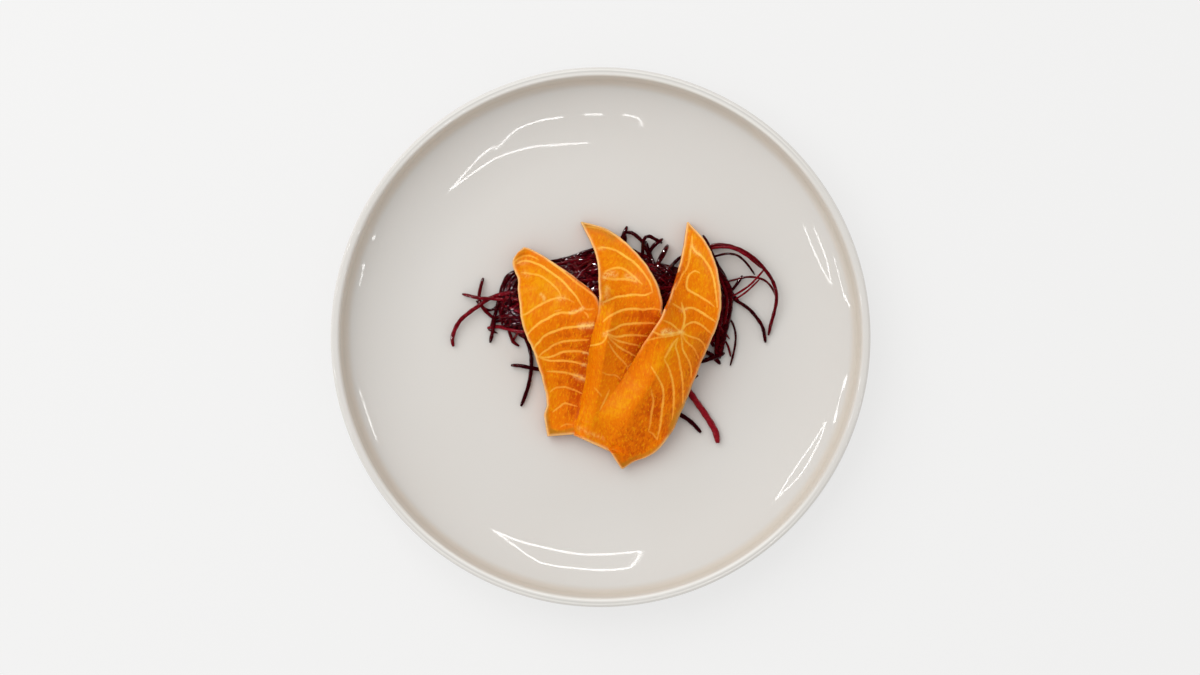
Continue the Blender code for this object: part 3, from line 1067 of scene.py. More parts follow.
@dataclass(frozen=True)
class SalmonSlice:
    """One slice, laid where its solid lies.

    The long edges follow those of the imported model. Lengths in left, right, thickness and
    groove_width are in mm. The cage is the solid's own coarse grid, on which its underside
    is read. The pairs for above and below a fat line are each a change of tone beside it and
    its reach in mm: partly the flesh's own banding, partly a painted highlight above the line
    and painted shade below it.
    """

    name: str
    node: Node
    left: Points
    right: Points
    thickness: float
    near_share: float
    tip_share: float
    fat_lines: tuple[FatLine, ...]
    strokes: tuple[Stroke, ...]
    feather: Feather | None = None
    columns: int = 104
    rows: int = 320
    bunching: float = 0.4
    wall_rows: int = 5
    full_between: Range = (0.3, 0.7)
    cage_columns: int = 10
    cage_rows: int = 26
    cage_bunching: float = 0.3
    cage_inset: Pair = (0.004, 0.01)
    cage_end: int = 3
    cage_tries: int = 41
    cage_round: float = 2.0 * MM
    cage_under: float = 0.22
    edge_round: float = 1.0 * MM
    under_share: float = 0.20
    top_share: float = 0.15
    crispness: float = 2.3
    edge_wander: float = 0.24 * MM
    wander_sizes: Pair = (4 * MM, 1.7 * MM)
    wander_fine: float = 0.5
    wander_calm: float = 8
    wander_axes: Pair = (1.0, 0.3)
    groove_depth: float = 0.10 * MM
    groove_width: float = 0.45
    swell_height: float = 0.22 * MM
    swell_size: float = 5.5 * MM
    pucker_height: float = 0.055 * MM
    pucker_size: float = 1.3 * MM
    line_taper: float = 0.5
    line_fade: float = 0.6
    lit_above_line: Pair = (0.30, 0.7)
    shade_below_line: Pair = (-0.45, 1.0)
    tone_light_shade_range: Range = (-1.2, 1.0)
    # The rim carries the painted edge highlight; it fades where an edge comes down onto the slice
    # below.
    rim_width: float = 0.66 * MM
    rim_inset: float = 0.25 * MM
    rim_outer: float = 0.15
    rim_loss: float = 1.3
    least: float = 0.25 * MM
    # Walls get painted shade: a lower tone and some olive tint.
    wall_painted_shade: float = -0.5
    wall_fat: float = 0.4
    wall_dry_and_shade: float = 0.12

    def edge(self, points: Points, shares: np.ndarray) -> np.ndarray:
        """Plan points at the given shares of a smooth edge's length, a little uneven.

        Args:
            points: The edge's points, in mm.
            shares: Shares of its length.

        Returns:
            Rows of x, y in metres.
        """
        route, run = measured(points, EDGE_STEP)
        spots = np.stack([np.interp(shares * run[-1], run, route[:, k]) for k in (0, 1)], axis=1)
        calm = np.minimum(1, self.wander_calm * np.minimum(shares, 1 - shares))
        coarse, fine = (ripples(spots, size) for size in self.wander_sizes)
        wander = coarse + self.wander_fine * fine
        return spots + (self.edge_wander * calm * wander)[:, None] * self.wander_axes

    def plan_grid(self, rows: np.ndarray, columns: np.ndarray) -> tuple[np.ndarray, ...]:
        """Plan points over the slice, and how far each is inside its outline.

        Args:
            rows: Shares of the length, from the near end.
            columns: Shares of the width, from the left edge.

        Returns:
            The plan points, the insets and the distances from the left edge, in metres.
        """
        left = self.edge(self.left, rows)[:, None]
        right = self.edge(self.right, rows)[:, None]
        plan = left + (right - left) * columns[None, :, None]
        width = np.linalg.norm(right - left, axis=2)
        length = np.linalg.norm(plan[-1] - plan[0], axis=1)[None]
        inset = np.minimum(
            np.minimum(columns, 1 - columns)[None] * width,
            np.minimum(rows, 1 - rows)[:, None] * length,
        )
        return plan, inset, columns[None] * width

    def thickness_at(self, rows: np.ndarray) -> np.ndarray:
        """How thick the slice is.

        Args:
            rows: Shares of the length.

        Returns:
            The thickness in metres, as a column.
        """
        places = (0, *self.full_between, 1)
        shares = np.interp(rows, places, (self.near_share, 1, 1, self.tip_share))
        return self.thickness * MM * shares[:, None]

    def underside(self, rows: np.ndarray, columns: np.ndarray) -> np.ndarray:
        """Height of the solid's underside at the cage's points.

        A point that the solid doesn't reach takes the height of the first place that it
        does, on the way to the middle of its row.

        Args:
            rows: The cage's shares of the length.
            columns: Its shares of the width.

        Returns:
            The heights.
        """
        at_end, at_side = self.cage_inset
        within = np.clip(rows, at_end, 1 - at_end), np.clip(columns, at_side, 1 - at_side)
        outer = self.plan_grid(*within)[0]
        middle = outer.mean(axis=1)
        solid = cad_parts[self.node.value]
        tree = BVHTree.FromObject(solid, bpy.context.evaluated_depsgraph_get())
        under = np.empty(outer.shape[:2])
        for row, column in np.ndindex(under.shape):
            inner = middle[np.clip(row, self.cage_end, self.cage_rows - self.cage_end)]
            for step in np.linspace(0, 1, self.cage_tries):
                spot = outer[row, column] * (1 - step) + inner * step
                hit = tree.ray_cast(Vector((*spot, 0)), UP)[0]
                if hit is not None:
                    under[row, column] = hit.z
                    break
        return under

    def resting_height(self, rows: np.ndarray, columns: np.ndarray) -> np.ndarray:
        """Height of what the slice lies on, read from its solid's underside.

        Args:
            rows: Shares of the length.
            columns: Shares of the width.

        Returns:
            The heights over the grid.
        """
        even = np.linspace(0, 1, self.cage_rows + 1)
        angles = np.linspace(0, math.pi, self.cage_columns + 1)
        cage_rows = bunched(even, self.cage_bunching)
        cage_columns = (1 - np.cos(angles)) / 2
        inset = self.plan_grid(cage_rows, cage_columns)[1]
        rounded = np.sqrt(1 - (1 - np.clip(inset / self.cage_round, 0, 1)) ** 2)
        lost = self.thickness_at(cage_rows) * self.cage_under * (1 - rounded)
        base = self.underside(cage_rows, cage_columns) - lost
        row_places = np.interp(rows, cage_rows, even) * self.cage_rows
        column_places = np.arccos(np.clip(1 - 2 * columns, -1, 1)) / math.pi * self.cage_columns
        return resample(resample(base, row_places).T, column_places).T

    def patterns(self, plan: np.ndarray, inset: np.ndarray) -> dict[str, np.ndarray]:
        """What the material reads over the plan grid, by attribute name.

        Args:
            plan: Plan points over the grid.
            inset: How far each is inside the outline.

        Returns:
            fat_gap (distance from the nearest fat line, in half widths), fat_share (its
            strength), groove (1 on a fat line), rim (1 on the outline, where a painted
            highlight goes), and one for each Mark.
        """
        flat = plan.reshape(-1, 2)
        gap = np.full(len(flat), NO_LINE)
        share = np.zeros(len(flat))
        groove = np.zeros(len(flat))
        marks = {mark: np.zeros(len(flat)) for mark in Mark}
        for line in self.fat_lines:
            distance, along, side = near_line(flat, line.points)
            swell = np.sqrt(np.sin(math.pi * along))
            taper = self.line_taper + (1 - self.line_taper) * swell
            widths = distance / (line.half_width * taper)
            closer = widths < gap
            gap[closer] = widths[closer]
            shown = line.strength * (self.line_fade + (1 - self.line_fade) * swell)
            share[closer] = shown[closer]
            strength = line.strength * swell
            groove = np.maximum(groove, strength * np.exp(-((distance / self.groove_width) ** 2)))
            # Painted highlight above each fat line and painted shade below it, on top of the
            # flesh's banding.
            above, below = (
                change * np.exp(-distance / reach)
                for change, reach in (self.lit_above_line, self.shade_below_line)
            )
            marks[Mark.TONE] += strength * np.where(side > 0, above, below)
        for stroke in self.strokes:
            distance = near_line(flat, stroke.points)[0]
            marks[stroke.mark] += stroke.amount * np.exp(-((distance / stroke.half_width) ** 2))
        marks[Mark.TONE] = np.clip(marks[Mark.TONE], *self.tone_light_shade_range)
        # Painted highlight along the outline.
        rim = np.exp(-((inset / self.rim_width) ** 2))
        rim *= np.clip(inset / self.rim_inset, self.rim_outer, 1)
        found = {mark.value: values for mark, values in marks.items()}
        found |= {"fat_gap": gap, "fat_share": share, "groove": groove, "rim": rim}
        return {name: values.reshape(inset.shape) for name, values in found.items()}

    def relief(self, plan: np.ndarray, groove: np.ndarray) -> np.ndarray:
        """Height of the cut face over a smooth one: grooves at the fat and soft swells.

        Args:
            plan: Plan points over the grid.
            groove: The groove's share over the grid.

        Returns:
            The heights.
        """
        flat = plan.reshape(-1, 2)
        swell = self.swell_height * ripples(flat, self.swell_size)
        pucker = self.pucker_height * ripples(flat, self.pucker_size)
        return (swell + pucker).reshape(groove.shape) - self.groove_depth * groove

    def build(
        self, material: bpy.types.Material, below: bpy.types.Object | None
    ) -> bpy.types.Object:
        """Make the slice.

        Args:
            material: The salmon's material.
            below: The slice that its left edge lies on, if any.

        Returns:
            The slice.
        """
        rows = bunched(np.linspace(0, 1, self.rows + 1), self.bunching)
        columns = bunched(np.linspace(0, 1, self.columns + 1), self.bunching)
        plan, inset, from_left = self.plan_grid(rows, columns)
        patterns = self.patterns(plan, inset)
        relief = self.relief(plan, patterns.pop("groove"))
        base = self.resting_height(rows, columns)
        thick = self.thickness_at(rows)
        power = self.crispness
        rounded = (1 - (1 - np.clip(inset / self.edge_round, 0, 1)) ** power) ** (1 / power)
        lost = self.top_share * (1 - rounded)
        under = base + thick * self.under_share * (1 - rounded)
        top = base + thick * (1 - lost) + relief * rounded
        if self.feather and below:
            landing, over = self.feather.landing(plan, below, top)
            down = self.feather.share(rows, from_left) * over
            top = top + (landing - top) * down
            patterns["rim"] = patterns["rim"] * (1 - np.clip(self.rim_loss * down, 0, 1))
        mesh = self.block(plan, np.minimum(under, top - self.least), top, patterns)
        return add_piece(mesh, material, self.node, Slot.SALMON)

    def on_wall(self, name: str, values: np.ndarray) -> np.ndarray:
        """What a pattern becomes on the slice's walls and underside.

        Args:
            name: The attribute's name.
            values: What it is on the cut face above.

        Returns:
            The values there.
        """
        # On the walls: painted shade through a lower tone and an olive tint, less fat and no
        # painted edge highlight.
        walls = {
            Mark.TONE.value: values + self.wall_painted_shade,
            Mark.DRY.value: np.full(len(values), self.wall_dry_and_shade),
            "fat_share": values * self.wall_fat,
            "rim": np.zeros(len(values)),
        }
        return walls.get(name, values)

    def block(
        self, plan: np.ndarray, under: np.ndarray, top: np.ndarray, patterns: dict[str, np.ndarray]
    ) -> bpy.types.Mesh:
        """The slice's closed mesh.

        Args:
            plan: Plan points over the grid.
            under: Heights of its lower face.
            top: Heights of its upper face.
            patterns: What the material reads over the grid.

        Returns:
            The mesh.
        """
        bm = bmesh.new()
        bmesh.ops.create_grid(bm, x_segments=self.columns, y_segments=self.rows, size=0.5)
        raised = bmesh.ops.extrude_face_region(bm, geom=bm.faces[:], use_keep_orig=True)["geom"]
        lifted = [v for v in raised if isinstance(v, bmesh.types.BMVert)]
        bmesh.ops.translate(bm, vec=UP, verts=lifted)
        upright = [e for e in bm.edges if e.verts[0].co.z != e.verts[1].co.z]
        bmesh.ops.subdivide_edges(bm, edges=upright, cuts=self.wall_rows - 1)
        mesh = mesh_from(bm, self.name)
        unit = corners_of(mesh)
        row = np.rint((unit[:, 1] + 0.5) * self.rows).astype(int)
        column = np.rint((unit[:, 0] + 0.5) * self.columns).astype(int)
        level = unit[:, 2]
        height = under[row, column] * (1 - level) + top[row, column] * level
        mesh.vertices.foreach_set("co", np.column_stack([plan[row, column], height]).ravel())
        mesh.update()
        for name, grid in patterns.items():
            values = grid[row, column]
            set_attribute(mesh, name, np.where(level == 1, values, self.on_wall(name, values)))
        return mesh


LEFT_FAT = fat_lines(
    (0.5, 1, -31.2, 27.3, -29.4, 28.3, -26.8, 28.3, -24.2, 27.4, -21.9, 26.4, -18.2, 23.8, -14.5,
     21.1, -11.6, 17.9, -9.3, 15.3, -7.1, 11.8, -6.6, 10.8),
    (0.41, 0.54, -32.2, 27.9, -30.5, 29.4, -28.3, 30.3, -25.7, 30.1, -23.1, 28.8),
    (0.41, 0.68, -29.6, 24, -27.5, 23.8, -25.4, 23.4, -22.8, 22.9, -20.1, 21.3, -17.5, 19.2, -15.6,
     17.1, -14.5, 14.9),
    (0.47, 0.81, -29.4, 8.1, -27.2, 8.7, -25.1, 10.3, -22.4, 11.9, -20.1, 13.1, -17.2, 14.2, -14.5,
     14.6),
    (0.39, 0.41, -14.5, 14.6, -12.3, 14.1, -9.7, 12.8),
    (0.52, 1, -27.9, -0.2, -26.2, 2, -24.4, 3.8, -21.8, 5.8, -19.4, 6.9, -17.4, 8.1, -15, 8.9,
     -11.9, 9, -9.7, 8.9, -8, 10, -6.7, 10.7),
    (0.34, 0.47, -17.1, 9.6, -14.3, 10.2),
    (0.39, 0.68, -6.1, 9.3, -5, 8.4, -4.5, 7),
    (0.41, 0.47, -6.7, 10.7, -4.5, 10.2, -2.2, 10.6),
    (0.52, 1, -25.1, -5.2, -24, -3, -22.7, -1.7, -21.4, -0.1, -19.4, 1.2, -17.2, 2, -15, 2.9,
     -12.4, 3.5, -9.7, 3.7, -7.6, 4, -5.4, 4.2, -2.8, 4.5),
    (0.46, 0.88, -22.9, -7.2, -21.1, -5.4, -19.4, -4.5, -18, -3.3, -15.8, -2.3, -14.1, -1.7, -11.9,
     -1.4, -8.6, -1.2, -6.5, -1.1, -4.3, -1),
    (0.46, 0.88, -23.4, -7.3, -21.2, -7.6, -19.3, -7.5, -18, -7.2, -16.3, -6.5, -14.8, -5.8, -13,
     -5.4, -10.8, -5.2, -8, -5.3, -5.8, -5.6, -4.3, -6.1),
    (0.46, 0.88, -22.4, -7.9, -19.4, -8.7, -17.4, -8.8, -14.5, -8.8, -11.9, -9, -9.7, -9.3, -7.6,
     -9.8, -5.4, -10.3, -4.3, -10.7),
    (0.47, 0.88, -19.8, -12.8, -17.6, -12.8, -15, -13, -12.8, -13.3, -10.8, -13.8, -8.6, -14.5,
     -5.6, -15.6),
    (0.41, 0.81, -18.9, -20.5, -17.3, -19.2, -15.4, -18.7, -13, -18.7, -10.9, -19.4, -8.8, -20.2,
     -6.7, -21.2),
    (0.41, 0.74, -17.9, -28, -16.2, -26.7, -14.6, -25.5, -13.3, -24.7, -10.9, -25.3, -8.6, -25.9),
    (0.34, 0.41, -15.1, -33.7, -13, -32.6, -10.4, -32.8),
    (0.41, 0.81, -20.1, 28.8, -14.9, 25, -10, 21, -5.6, 17.6, -1.5, 14.5),
    (0.41, 0.68, -27.9, 0.2, -26.6, -2.6, -24.9, -5.6, -23.1, -7.6),
)

# Tone strokes: partly the flesh's own tone, partly painted light and shade, with painted shadow
# along the right edge where the middle slice lies over this one.
LEFT_STROKES = (
    *strokes(
        Mark.TONE,
        (9, 0.5, -20.5, 19.5, -24.2, 13.9),
        (5, 0.2, -26, 25.9, -14.9, 16.9),
        (3, 0.45, -28.3, 6.5, -26, -0.9, -21.2, -8.4, -19.3, -17.7, -17.9, -25.1),
        # Painted shadow along the right edge, under the middle slice's edge.
        (3.4, -0.9, -3, 2.8, -4.5, -4.7, -6.3, -13.9, -8.2, -21.4, -9.7, -27.7),
        (7, -0.2, -19.3, 0.9, -16.4, -12.1, -14.9, -25.1),
        (1.6, -0.35, -14.9, 5.8, -10.4, 6.5, -5.6, 6.9),
        (1.5, -0.45, -14.9, 0.6, -9.3, 1.3, -3.7, 1.7),
        (1.3, -0.5, -13, -3.5, -4.5, -3.3),
        (1.5, -0.5, -13, -7.4, -4.5, -8.4),
        (1.5, -0.35, -14.9, -11.2, -5.6, -12.8),
        (1.6, -0.3, -14.9, -16.9, -7.4, -18.4),
        (1.1, -0.35, -22.3, 27.6, -16.4, 23.8, -11.2, 19.7, -6.3, 15.1, -3.7, 12.5),
        # Painted shadow beside the middle slice's edge.
        (0.55, -1.2, -12.6, 24, -8.2, 20.5, -3.7, 17.1, -0.7, 14.7),
    ),
    *strokes(
        Mark.CREAM,
        (0.6, 0.8, -11.2, 9, -8.2, 9.8, -6.6, 10.7),
        (0.95, 0.95, -7.4, 4, -2.8, 4.4),
        (1, 0.35, -28.5, 23.8, -27.2, 22.9),
        (0.9, 0.45, -15.6, 14.3, -13.8, 14.5),
        (0.6, 0.5, -21.9, 15.8, -21, 14.7, -20.6, 13.6),
        (0.9, 0.6, -9.3, -14.5, -5.6, -15.7),
        (0.7, 0.5, -6.7, -10.2, -4.5, -10.8),
        (0.5, 0.5, -6.3, -5.7, -4.5, -6.1),
        (1, 0.3, -31.2, 27.7, -27.9, 28.1),
    ),
    # Olive strokes along edges: partly drier flesh, partly painted shade.
    *strokes(
        Mark.DRY,
        (1.2, 0.5, -32, 28.5, -28.6, 32.5),
        (4, 0.2, -31.6, 28.1, -24.2, 27.3, -16.7, 23.6),
        (1, 0.7, -20.1, -25.9, -19.7, -32.5, -18.2, -35.5),
        (0.9, 0.8, -18.2, -35.5, -14.1, -35.5, -10.4, -34.4),
    ),
)

MIDDLE_FAT = fat_lines(
    (0.39, 0.41, -5.6, 41.3, -1.9, 40.9, 1.9, 39.6, 4.8, 37.6),
    (0.5, 0.94, -0.9, 32.9, 0.4, 33.4, 2.5, 33.2, 4.7, 32.6, 6.8, 31.6, 9.3, 29.8, 11.8, 28.2,
     13.7, 26.3, 15.5, 24.2, 17, 22, 18.3, 19.8, 19.1, 16.7),
    (0.39, 0.61, 4.5, 38.6, 7.4, 36.1, 11.2, 33.3, 14.9, 29.4, 17.7, 25.3, 19.9, 21.2, 21.4, 17.1,
     22.2, 12.8),
    (0.47, 0.94, 19.2, 16.7, 16.1, 15.5, 12.4, 15.7, 9.3, 15.3, 6.2, 14.9, 3.7, 13.9, 1.1, 12.8),
    (0.47, 0.74, 1.3, 23.2, 2.2, 24.4, 3.7, 25.1, 6.2, 25.7, 8.7, 25.1, 10.9, 23.5, 13, 21.7, 15.4,
     19.5),
    (0.55, 0.68, 1.1, 21.8, 4.7, 21.3, 8.1, 21.4, 11.2, 21.1, 13.4, 20.3),
    (0.5, 1, 0.9, 5.6, 2.5, 7.1, 5.3, 8.7, 8.1, 9.9, 11.8, 10.4, 15.5, 10.2, 19.2, 10.5, 22.3,
     9.9),
    (0.5, 0.94, 1.9, 2, 4.7, 2.8, 7.4, 4.3, 10.9, 4.9, 14.9, 5.1, 18.6, 5.2, 21.1, 4.9),
    (0.47, 0.88, 2.2, 1.3, 5.6, 0.1, 9.3, 0.6, 13.3, 0.7, 17.6, 0.3),
    (0.41, 0.74, 2.6, 0.6, 4.8, -0.6, 7.4, -1.7, 11, -2.5, 14.9, -3.3),
    (0.41, 0.74, 3, -0.2, 4.8, -2, 7.4, -4.1, 11, -6, 13.8, -7.6),
    (0.39, 0.61, 2.6, -1.3, 4.5, -4.7, 6.7, -7.4, 8.6, -9.3, 10, -11.4, 9.8, -15.8),
    (0.34, 0.54, 10, -11.3, 10.8, -10.4, 11.8, -9.4),
    (0.41, 0.81, -4.3, -3.2, -2.5, -3, 0.1, -2.3, 1.6, -1, 2.4, 0.9),
    (0.34, 0.47, -2.4, -18.7, -0.9, -20.3, 0.5, -22.1),
    (0.41, 0.61, 3.3, -19.5, 2.4, -21.7, 1.1, -24.4, -0.3, -27.3),
    (0.34, 0.47, 0.3, -12.8, 2.6, -13.9, 5.6, -14.2, 7.7, -16.1),
)

# Tone strokes: partly the flesh's own tone, partly painted light and shade, with painted shade
# beside the right slice's edge.
MIDDLE_STROKES = (
    *strokes(
        Mark.TONE,
        (6.5, 0.25, -0.7, 36.3, 4.5, 30.7, 10.4, 24.4),
        (6, 0.08, 4.5, 28.1, 7.4, 17.7),
        (2.2, 0.4, 1.9, 17.7, 1.5, 9.5),
        (2.5, 0.4, 1.1, 4.7, 0, -2.8),
        # Painted shade on the right side, beside the right slice's edge.
        (2.2, -0.55, 11.2, 7.6, 20.5, 7.6),
        (1.6, -0.5, 10.4, 2.8, 18.6, 2.8),
        (2.6, -0.7, 14.9, -1.3, 20.5, 1.7, 23.1, 5.8),
        (5, -0.45, 19.3, 6.5, 15.6, -2.8, 11.2, -11.3),
        (2.4, -0.7, 11.2, -5.4, 14.9, -2.8),
        (2, -0.55, 12.6, -9.1, 10.4, -13.6),
        (2, -0.35, 8.2, -15.1, 6.7, -18.8),
        (1.4, -0.25, 5.6, 12.6, 18.6, 13.2),
        (6, 0.45, -8.9, -33.7, -3.7, -31.8, 2.2, -28.8, 7.8, -24.7),
    ),
    *strokes(
        Mark.CREAM,
        (1, 0.65, 1.5, 22.3, 3, 23.4, 5.2, 23.2),
        (1.1, 0.5, 10, 22.5, 12.6, 21.4),
        (0.9, 0.45, 2.4, 18, 2.2, 15.1),
        (0.7, 0.5, 1.1, 12.5, 2.2, 13.2),
        (0.8, 0.6, 1.5, 0.9, 2.6, 1.3),
        (0.8, 0.35, -0.7, 32.9, 1.1, 33.3),
        (0.8, 0.25, -8.2, -34, -3.7, -36.1, 2.6, -38.1),
    ),
    # Olive strokes along edges: partly drier flesh, partly painted shade.
    *strokes(
        Mark.DRY,
        (1.6, 0.55, -6.3, 42.4, -3, 41.5, 1.1, 40, 4.8, 37.8),
        (4.5, 0.27, -3, 39.2, 1.5, 36.3, 6.7, 32.5, 11.9, 27.3),
        (0.8, 0.8, -7.4, 43, -6, 41.5),
    ),
)

RIGHT_FAT = fat_lines(
    (0.47, 0.88, 34.2, 37.8, 34.1, 35.2, 34.6, 32.9, 36.1, 31.2, 37.4, 30.3, 38.7, 28.6, 40.5,
     25.9, 41.7, 22.5, 42.4, 18.8, 42.8, 15.1, 43.2, 11),
    (0.44, 0.68, 34, 36.3, 33.5, 32.5, 32.7, 27.7, 32, 25.9, 30.5, 23.2),
    (0.39, 0.61, 33.3, 31.1, 32.2, 26, 30.1, 23, 29, 20.4, 27.4, 17.4),
    (0.47, 0.94, 36.8, 23.8, 35, 24.6, 32.9, 23.2, 32, 21, 32, 17.9, 34.6, 16.2, 37.2, 14.7, 39.8,
     13.1, 42, 11.3),
    (0.41, 0.68, 26.2, 12.4, 28.3, 11.2, 30.5, 9.9),
    (0.5, 1, 30.5, 10, 32.5, 10.8, 34.4, 10.6, 36.4, 9.6, 39.5, 7.7, 42.7, 5.5),
    (0.5, 0.94, 29.8, 12.8, 30.1, 11.3, 30.5, 10, 31, 8, 30.7, 5, 29.6, 1.9),
    (0.44, 0.88, 29.5, 1.9, 31.7, 4.5, 34.4, 5.5, 37.2, 4.5, 39.5, 2.6, 41.6, 0.6),
    (0.39, 0.68, 29.5, 1.9, 32.9, 0.3, 36, -0.7, 38.1, -2.4, 38.9, -4.7),
    (0.39, 0.61, 29.5, 1.9, 31.7, -1.7, 34.1, -3.7, 35.6, -6, 36.5, -8.2),
    (0.41, 0.74, 29.5, 1.9, 29.9, -0.9, 30.5, -4.8, 32.5, -8.4, 33.5, -11.5, 33.6, -15.3),
    (0.44, 0.81, 28.3, -1.3, 27.7, -3.5, 28.6, -6.4, 29.4, -10.3, 30.1, -14.2, 30.5, -18.2, 30.6,
     -22.1, 30.5, -24.7),
    (0.47, 0.88, 23.5, -8.4, 25.1, -11.1, 26.2, -14.6, 27, -18.6, 27.2, -22.5, 27, -27.2, 26.6,
     -30.7),
    (0.47, 0.88, 18.6, -10.8, 20.3, -13.5, 21.9, -16.2, 23.1, -19.3, 23.2, -23.2, 22.7, -27.6,
     22.3, -32.3, 21.1, -38.3),
    (0.44, 0.74, 18.8, -19.2, 18.9, -21, 19.6, -23.6, 19, -27.6, 18.4, -32.3, 17.8, -35),
    (0.39, 0.61, 17.9, -35.1, 19.3, -35.9, 20.3, -37.2, 21.1, -38.3),
    (0.41, 0.74, 23.1, 6.1, 25.9, 4.9, 27.9, 3.2, 29.4, 1.9),
    (0.47, 0.94, 18.8, 2.2, 20.8, 1.3, 22.3, 0.8, 25.3, 1.1, 29.4, 1.9),
    (0.41, 0.68, 29.4, 1.3, 25.3, 0.4, 20.8, -0.2, 16.9, -1.3),
    (0.55, 0.68, 28.6, -0.2, 26.4, -2.8, 23.6, -7.8),
)

# Tone strokes: partly the flesh's own tone, partly painted light and shade: a painted highlight on
# the crest that faces the light, painted shade along the left edge.
RIGHT_STROKES = (
    *strokes(
        Mark.TONE,
        (5.5, 0.4, 33.5, 39.2, 33.9, 34.4, 35.7, 28.1, 37.9, 19.5),
        # Painted highlight along the crest, which faces the light.
        (4, 0.45, 29.4, 0.9, 26.8, -3.9, 22.3, -9.1, 16.7, -15.1, 11.9, -21, 7.8, -26.2),
        (4.5, 0.35, 11.9, -21, 7.8, -24.7, 2.2, -28.1, -1.5, -29.9),
        # Painted shade along the left edge, over the middle slice.
        (1, -1.1, 28.6, 22.9, 26.4, 18.8, 24.9, 14.7, 24, 10.6),
        (0.8, -0.6, 30.1, 25.9, 28.6, 22.9),
        (2.2, -0.3, 32.7, 28.1, 29.8, 20.3, 27.2, 13.9),
        (3.5, -0.85, 39.4, -0.9, 36.1, -10.2, 32.7, -19.5, 29, -28.8, 25.3, -35.2),
        (2.2, -0.2, 20.8, 0.6, 17.1, -5.4, 12.6, -11.7, 8.2, -18),
        (1.6, -0.3, 25.3, -17.7, 24.9, -23.2),
        (1.8, -0.4, 20.8, -21.4, 20.5, -28.8),
        (8, -0.6, 16.4, -25.1, 14.9, -32.5, 11.2, -43.7),
        (1.5, -0.3, 17.9, -13.9, 19.3, -17.7),
    ),
    *strokes(
        Mark.CREAM,
        (0.9, 0.9, 23.1, 1.7, 24.6, 2.2, 26, 1.7),
        (0.8, 0.6, 28.6, 2, 30.1, 1.7),
        (0.8, 0.5, 29.8, 9.9, 31.2, 10.2),
        (0.8, 0.5, 34.2, 33.7, 35, 32.2, 36.5, 30.9),
    ),
    # Olive strokes along edges: partly drier flesh, partly painted shade.
    *strokes(
        Mark.DRY,
        (5, 0.42, 37.9, -2.8, 35, -12.1, 32, -21.4, 27.5, -30.7),
        (0.9, 0.6, 32.7, 42.8, 33.5, 40.7),
        (3, 0.25, 32.7, 32.5, 30.9, 27, 27.9, 20.6),
        (3, 0.25, 38.3, 29.6, 41.3, 23.2, 42.8, 13.9),
        (0.7, 0.3, 34.2, 40.7, 36.8, 37),
        (0.9, 0.7, 32, -25.1, 26.8, -32.5, 25.3, -36.6, 22.3, -40.4, 16.7, -43.9, 12.6, -45.2, 8.6,
         -47.8),
        (0.8, 0.45, 4.5, -41.5, 6.3, -45.2, 7.8, -47.4),
        (1.8, 0.3, 33.5, -20.3, 28.3, -29.9),
    ),
)

SLICES = (
    SalmonSlice(
        name="salmon_left",
        node=Node.SLICE_LEFT,
        left=pairs(
            -19.9, -37.2, -21.1, -29.6, -20.3, -22.9, -24.3, -7.5, -28.9, 4, -30.5, 15.4, -30.7,
            21.6, -32.6, 25.5, -32.9, 28.6, -30.9, 31.8
        ),
        right=pairs(
            -8.6, -36.4, -3.9, -21.4, 0, -6.5, 1.1, 4.7, -1.1, 14.3, -7.4, 20.6, -18.4, 28.5,
            -25.4, 32.6, -28.6, 33.7
        ),
        thickness=6.2,
        near_share=0.75,
        tip_share=0.85,
        fat_lines=LEFT_FAT,
        strokes=LEFT_STROKES,
    ),
    SalmonSlice(
        name="salmon_middle",
        node=Node.SLICE_MIDDLE,
        left=pairs(
            -9.9, -36.6, -6.2, -18.5, -3.7, -1.7, -0.9, 9.5, -0.7, 19, -1.9, 30.8, -7.5, 43
        ),
        right=pairs(
            3.4, -42.9, 11.2, -28.8, 18.6, -13.9, 22.9, 4.5, 21.4, 18.8, 13.8, 30.9, 3.6, 39.8, -7,
            43.3
        ),
        thickness=6.2,
        near_share=0.7,
        tip_share=0.55,
        fat_lines=MIDDLE_FAT,
        strokes=MIDDLE_STROKES,
        feather=Feather(-0.1, 0.75, 6.0, 0.97),
    ),
    SalmonSlice(
        name="salmon_right",
        node=Node.SLICE_RIGHT,
        left=pairs(
            7.7, -49.2, 4.9, -44.9, 1.9, -39.1, -0.4, -28.5, 7.2, -16.8, 15.8, -2.4, 23.1, 9.5,
            29.4, 27.3, 32.4, 43
        ),
        right=pairs(
            8.5, -49.3, 12.8, -46.6, 17, -45.1, 20.8, -42.8, 25, -38, 29, -30.8, 36.7, -11.7, 43.9,
            6.5, 44.5, 18.6, 40.8, 32.9, 32.9, 43.1
        ),
        thickness=6.6,
        near_share=0.6,
        tip_share=0.5,
        fat_lines=RIGHT_FAT,
        strokes=RIGHT_STROKES,
        feather=Feather(-0.1, 0.68, 11.0, 1.0),
    ),
)


# Shredded beetroot -----------------------------------------------------------------


@dataclass(frozen=True)
class Shred:
    """A loose shred: its route in plan, its radius and how much higher its middle lies, in mm.

    Its tint goes from 0, black, to 1, red.
    """

    route: Points
    radius: float
    tint: float
    lift: float


def shreds(*rows: tuple[float, ...]) -> tuple[Shred, ...]:
    """Shreds from rows of radius, tint, lift and the route's x, y, x, y and so on."""
    return tuple(Shred(pairs(*row[3:]), *row[:3]) for row in rows)


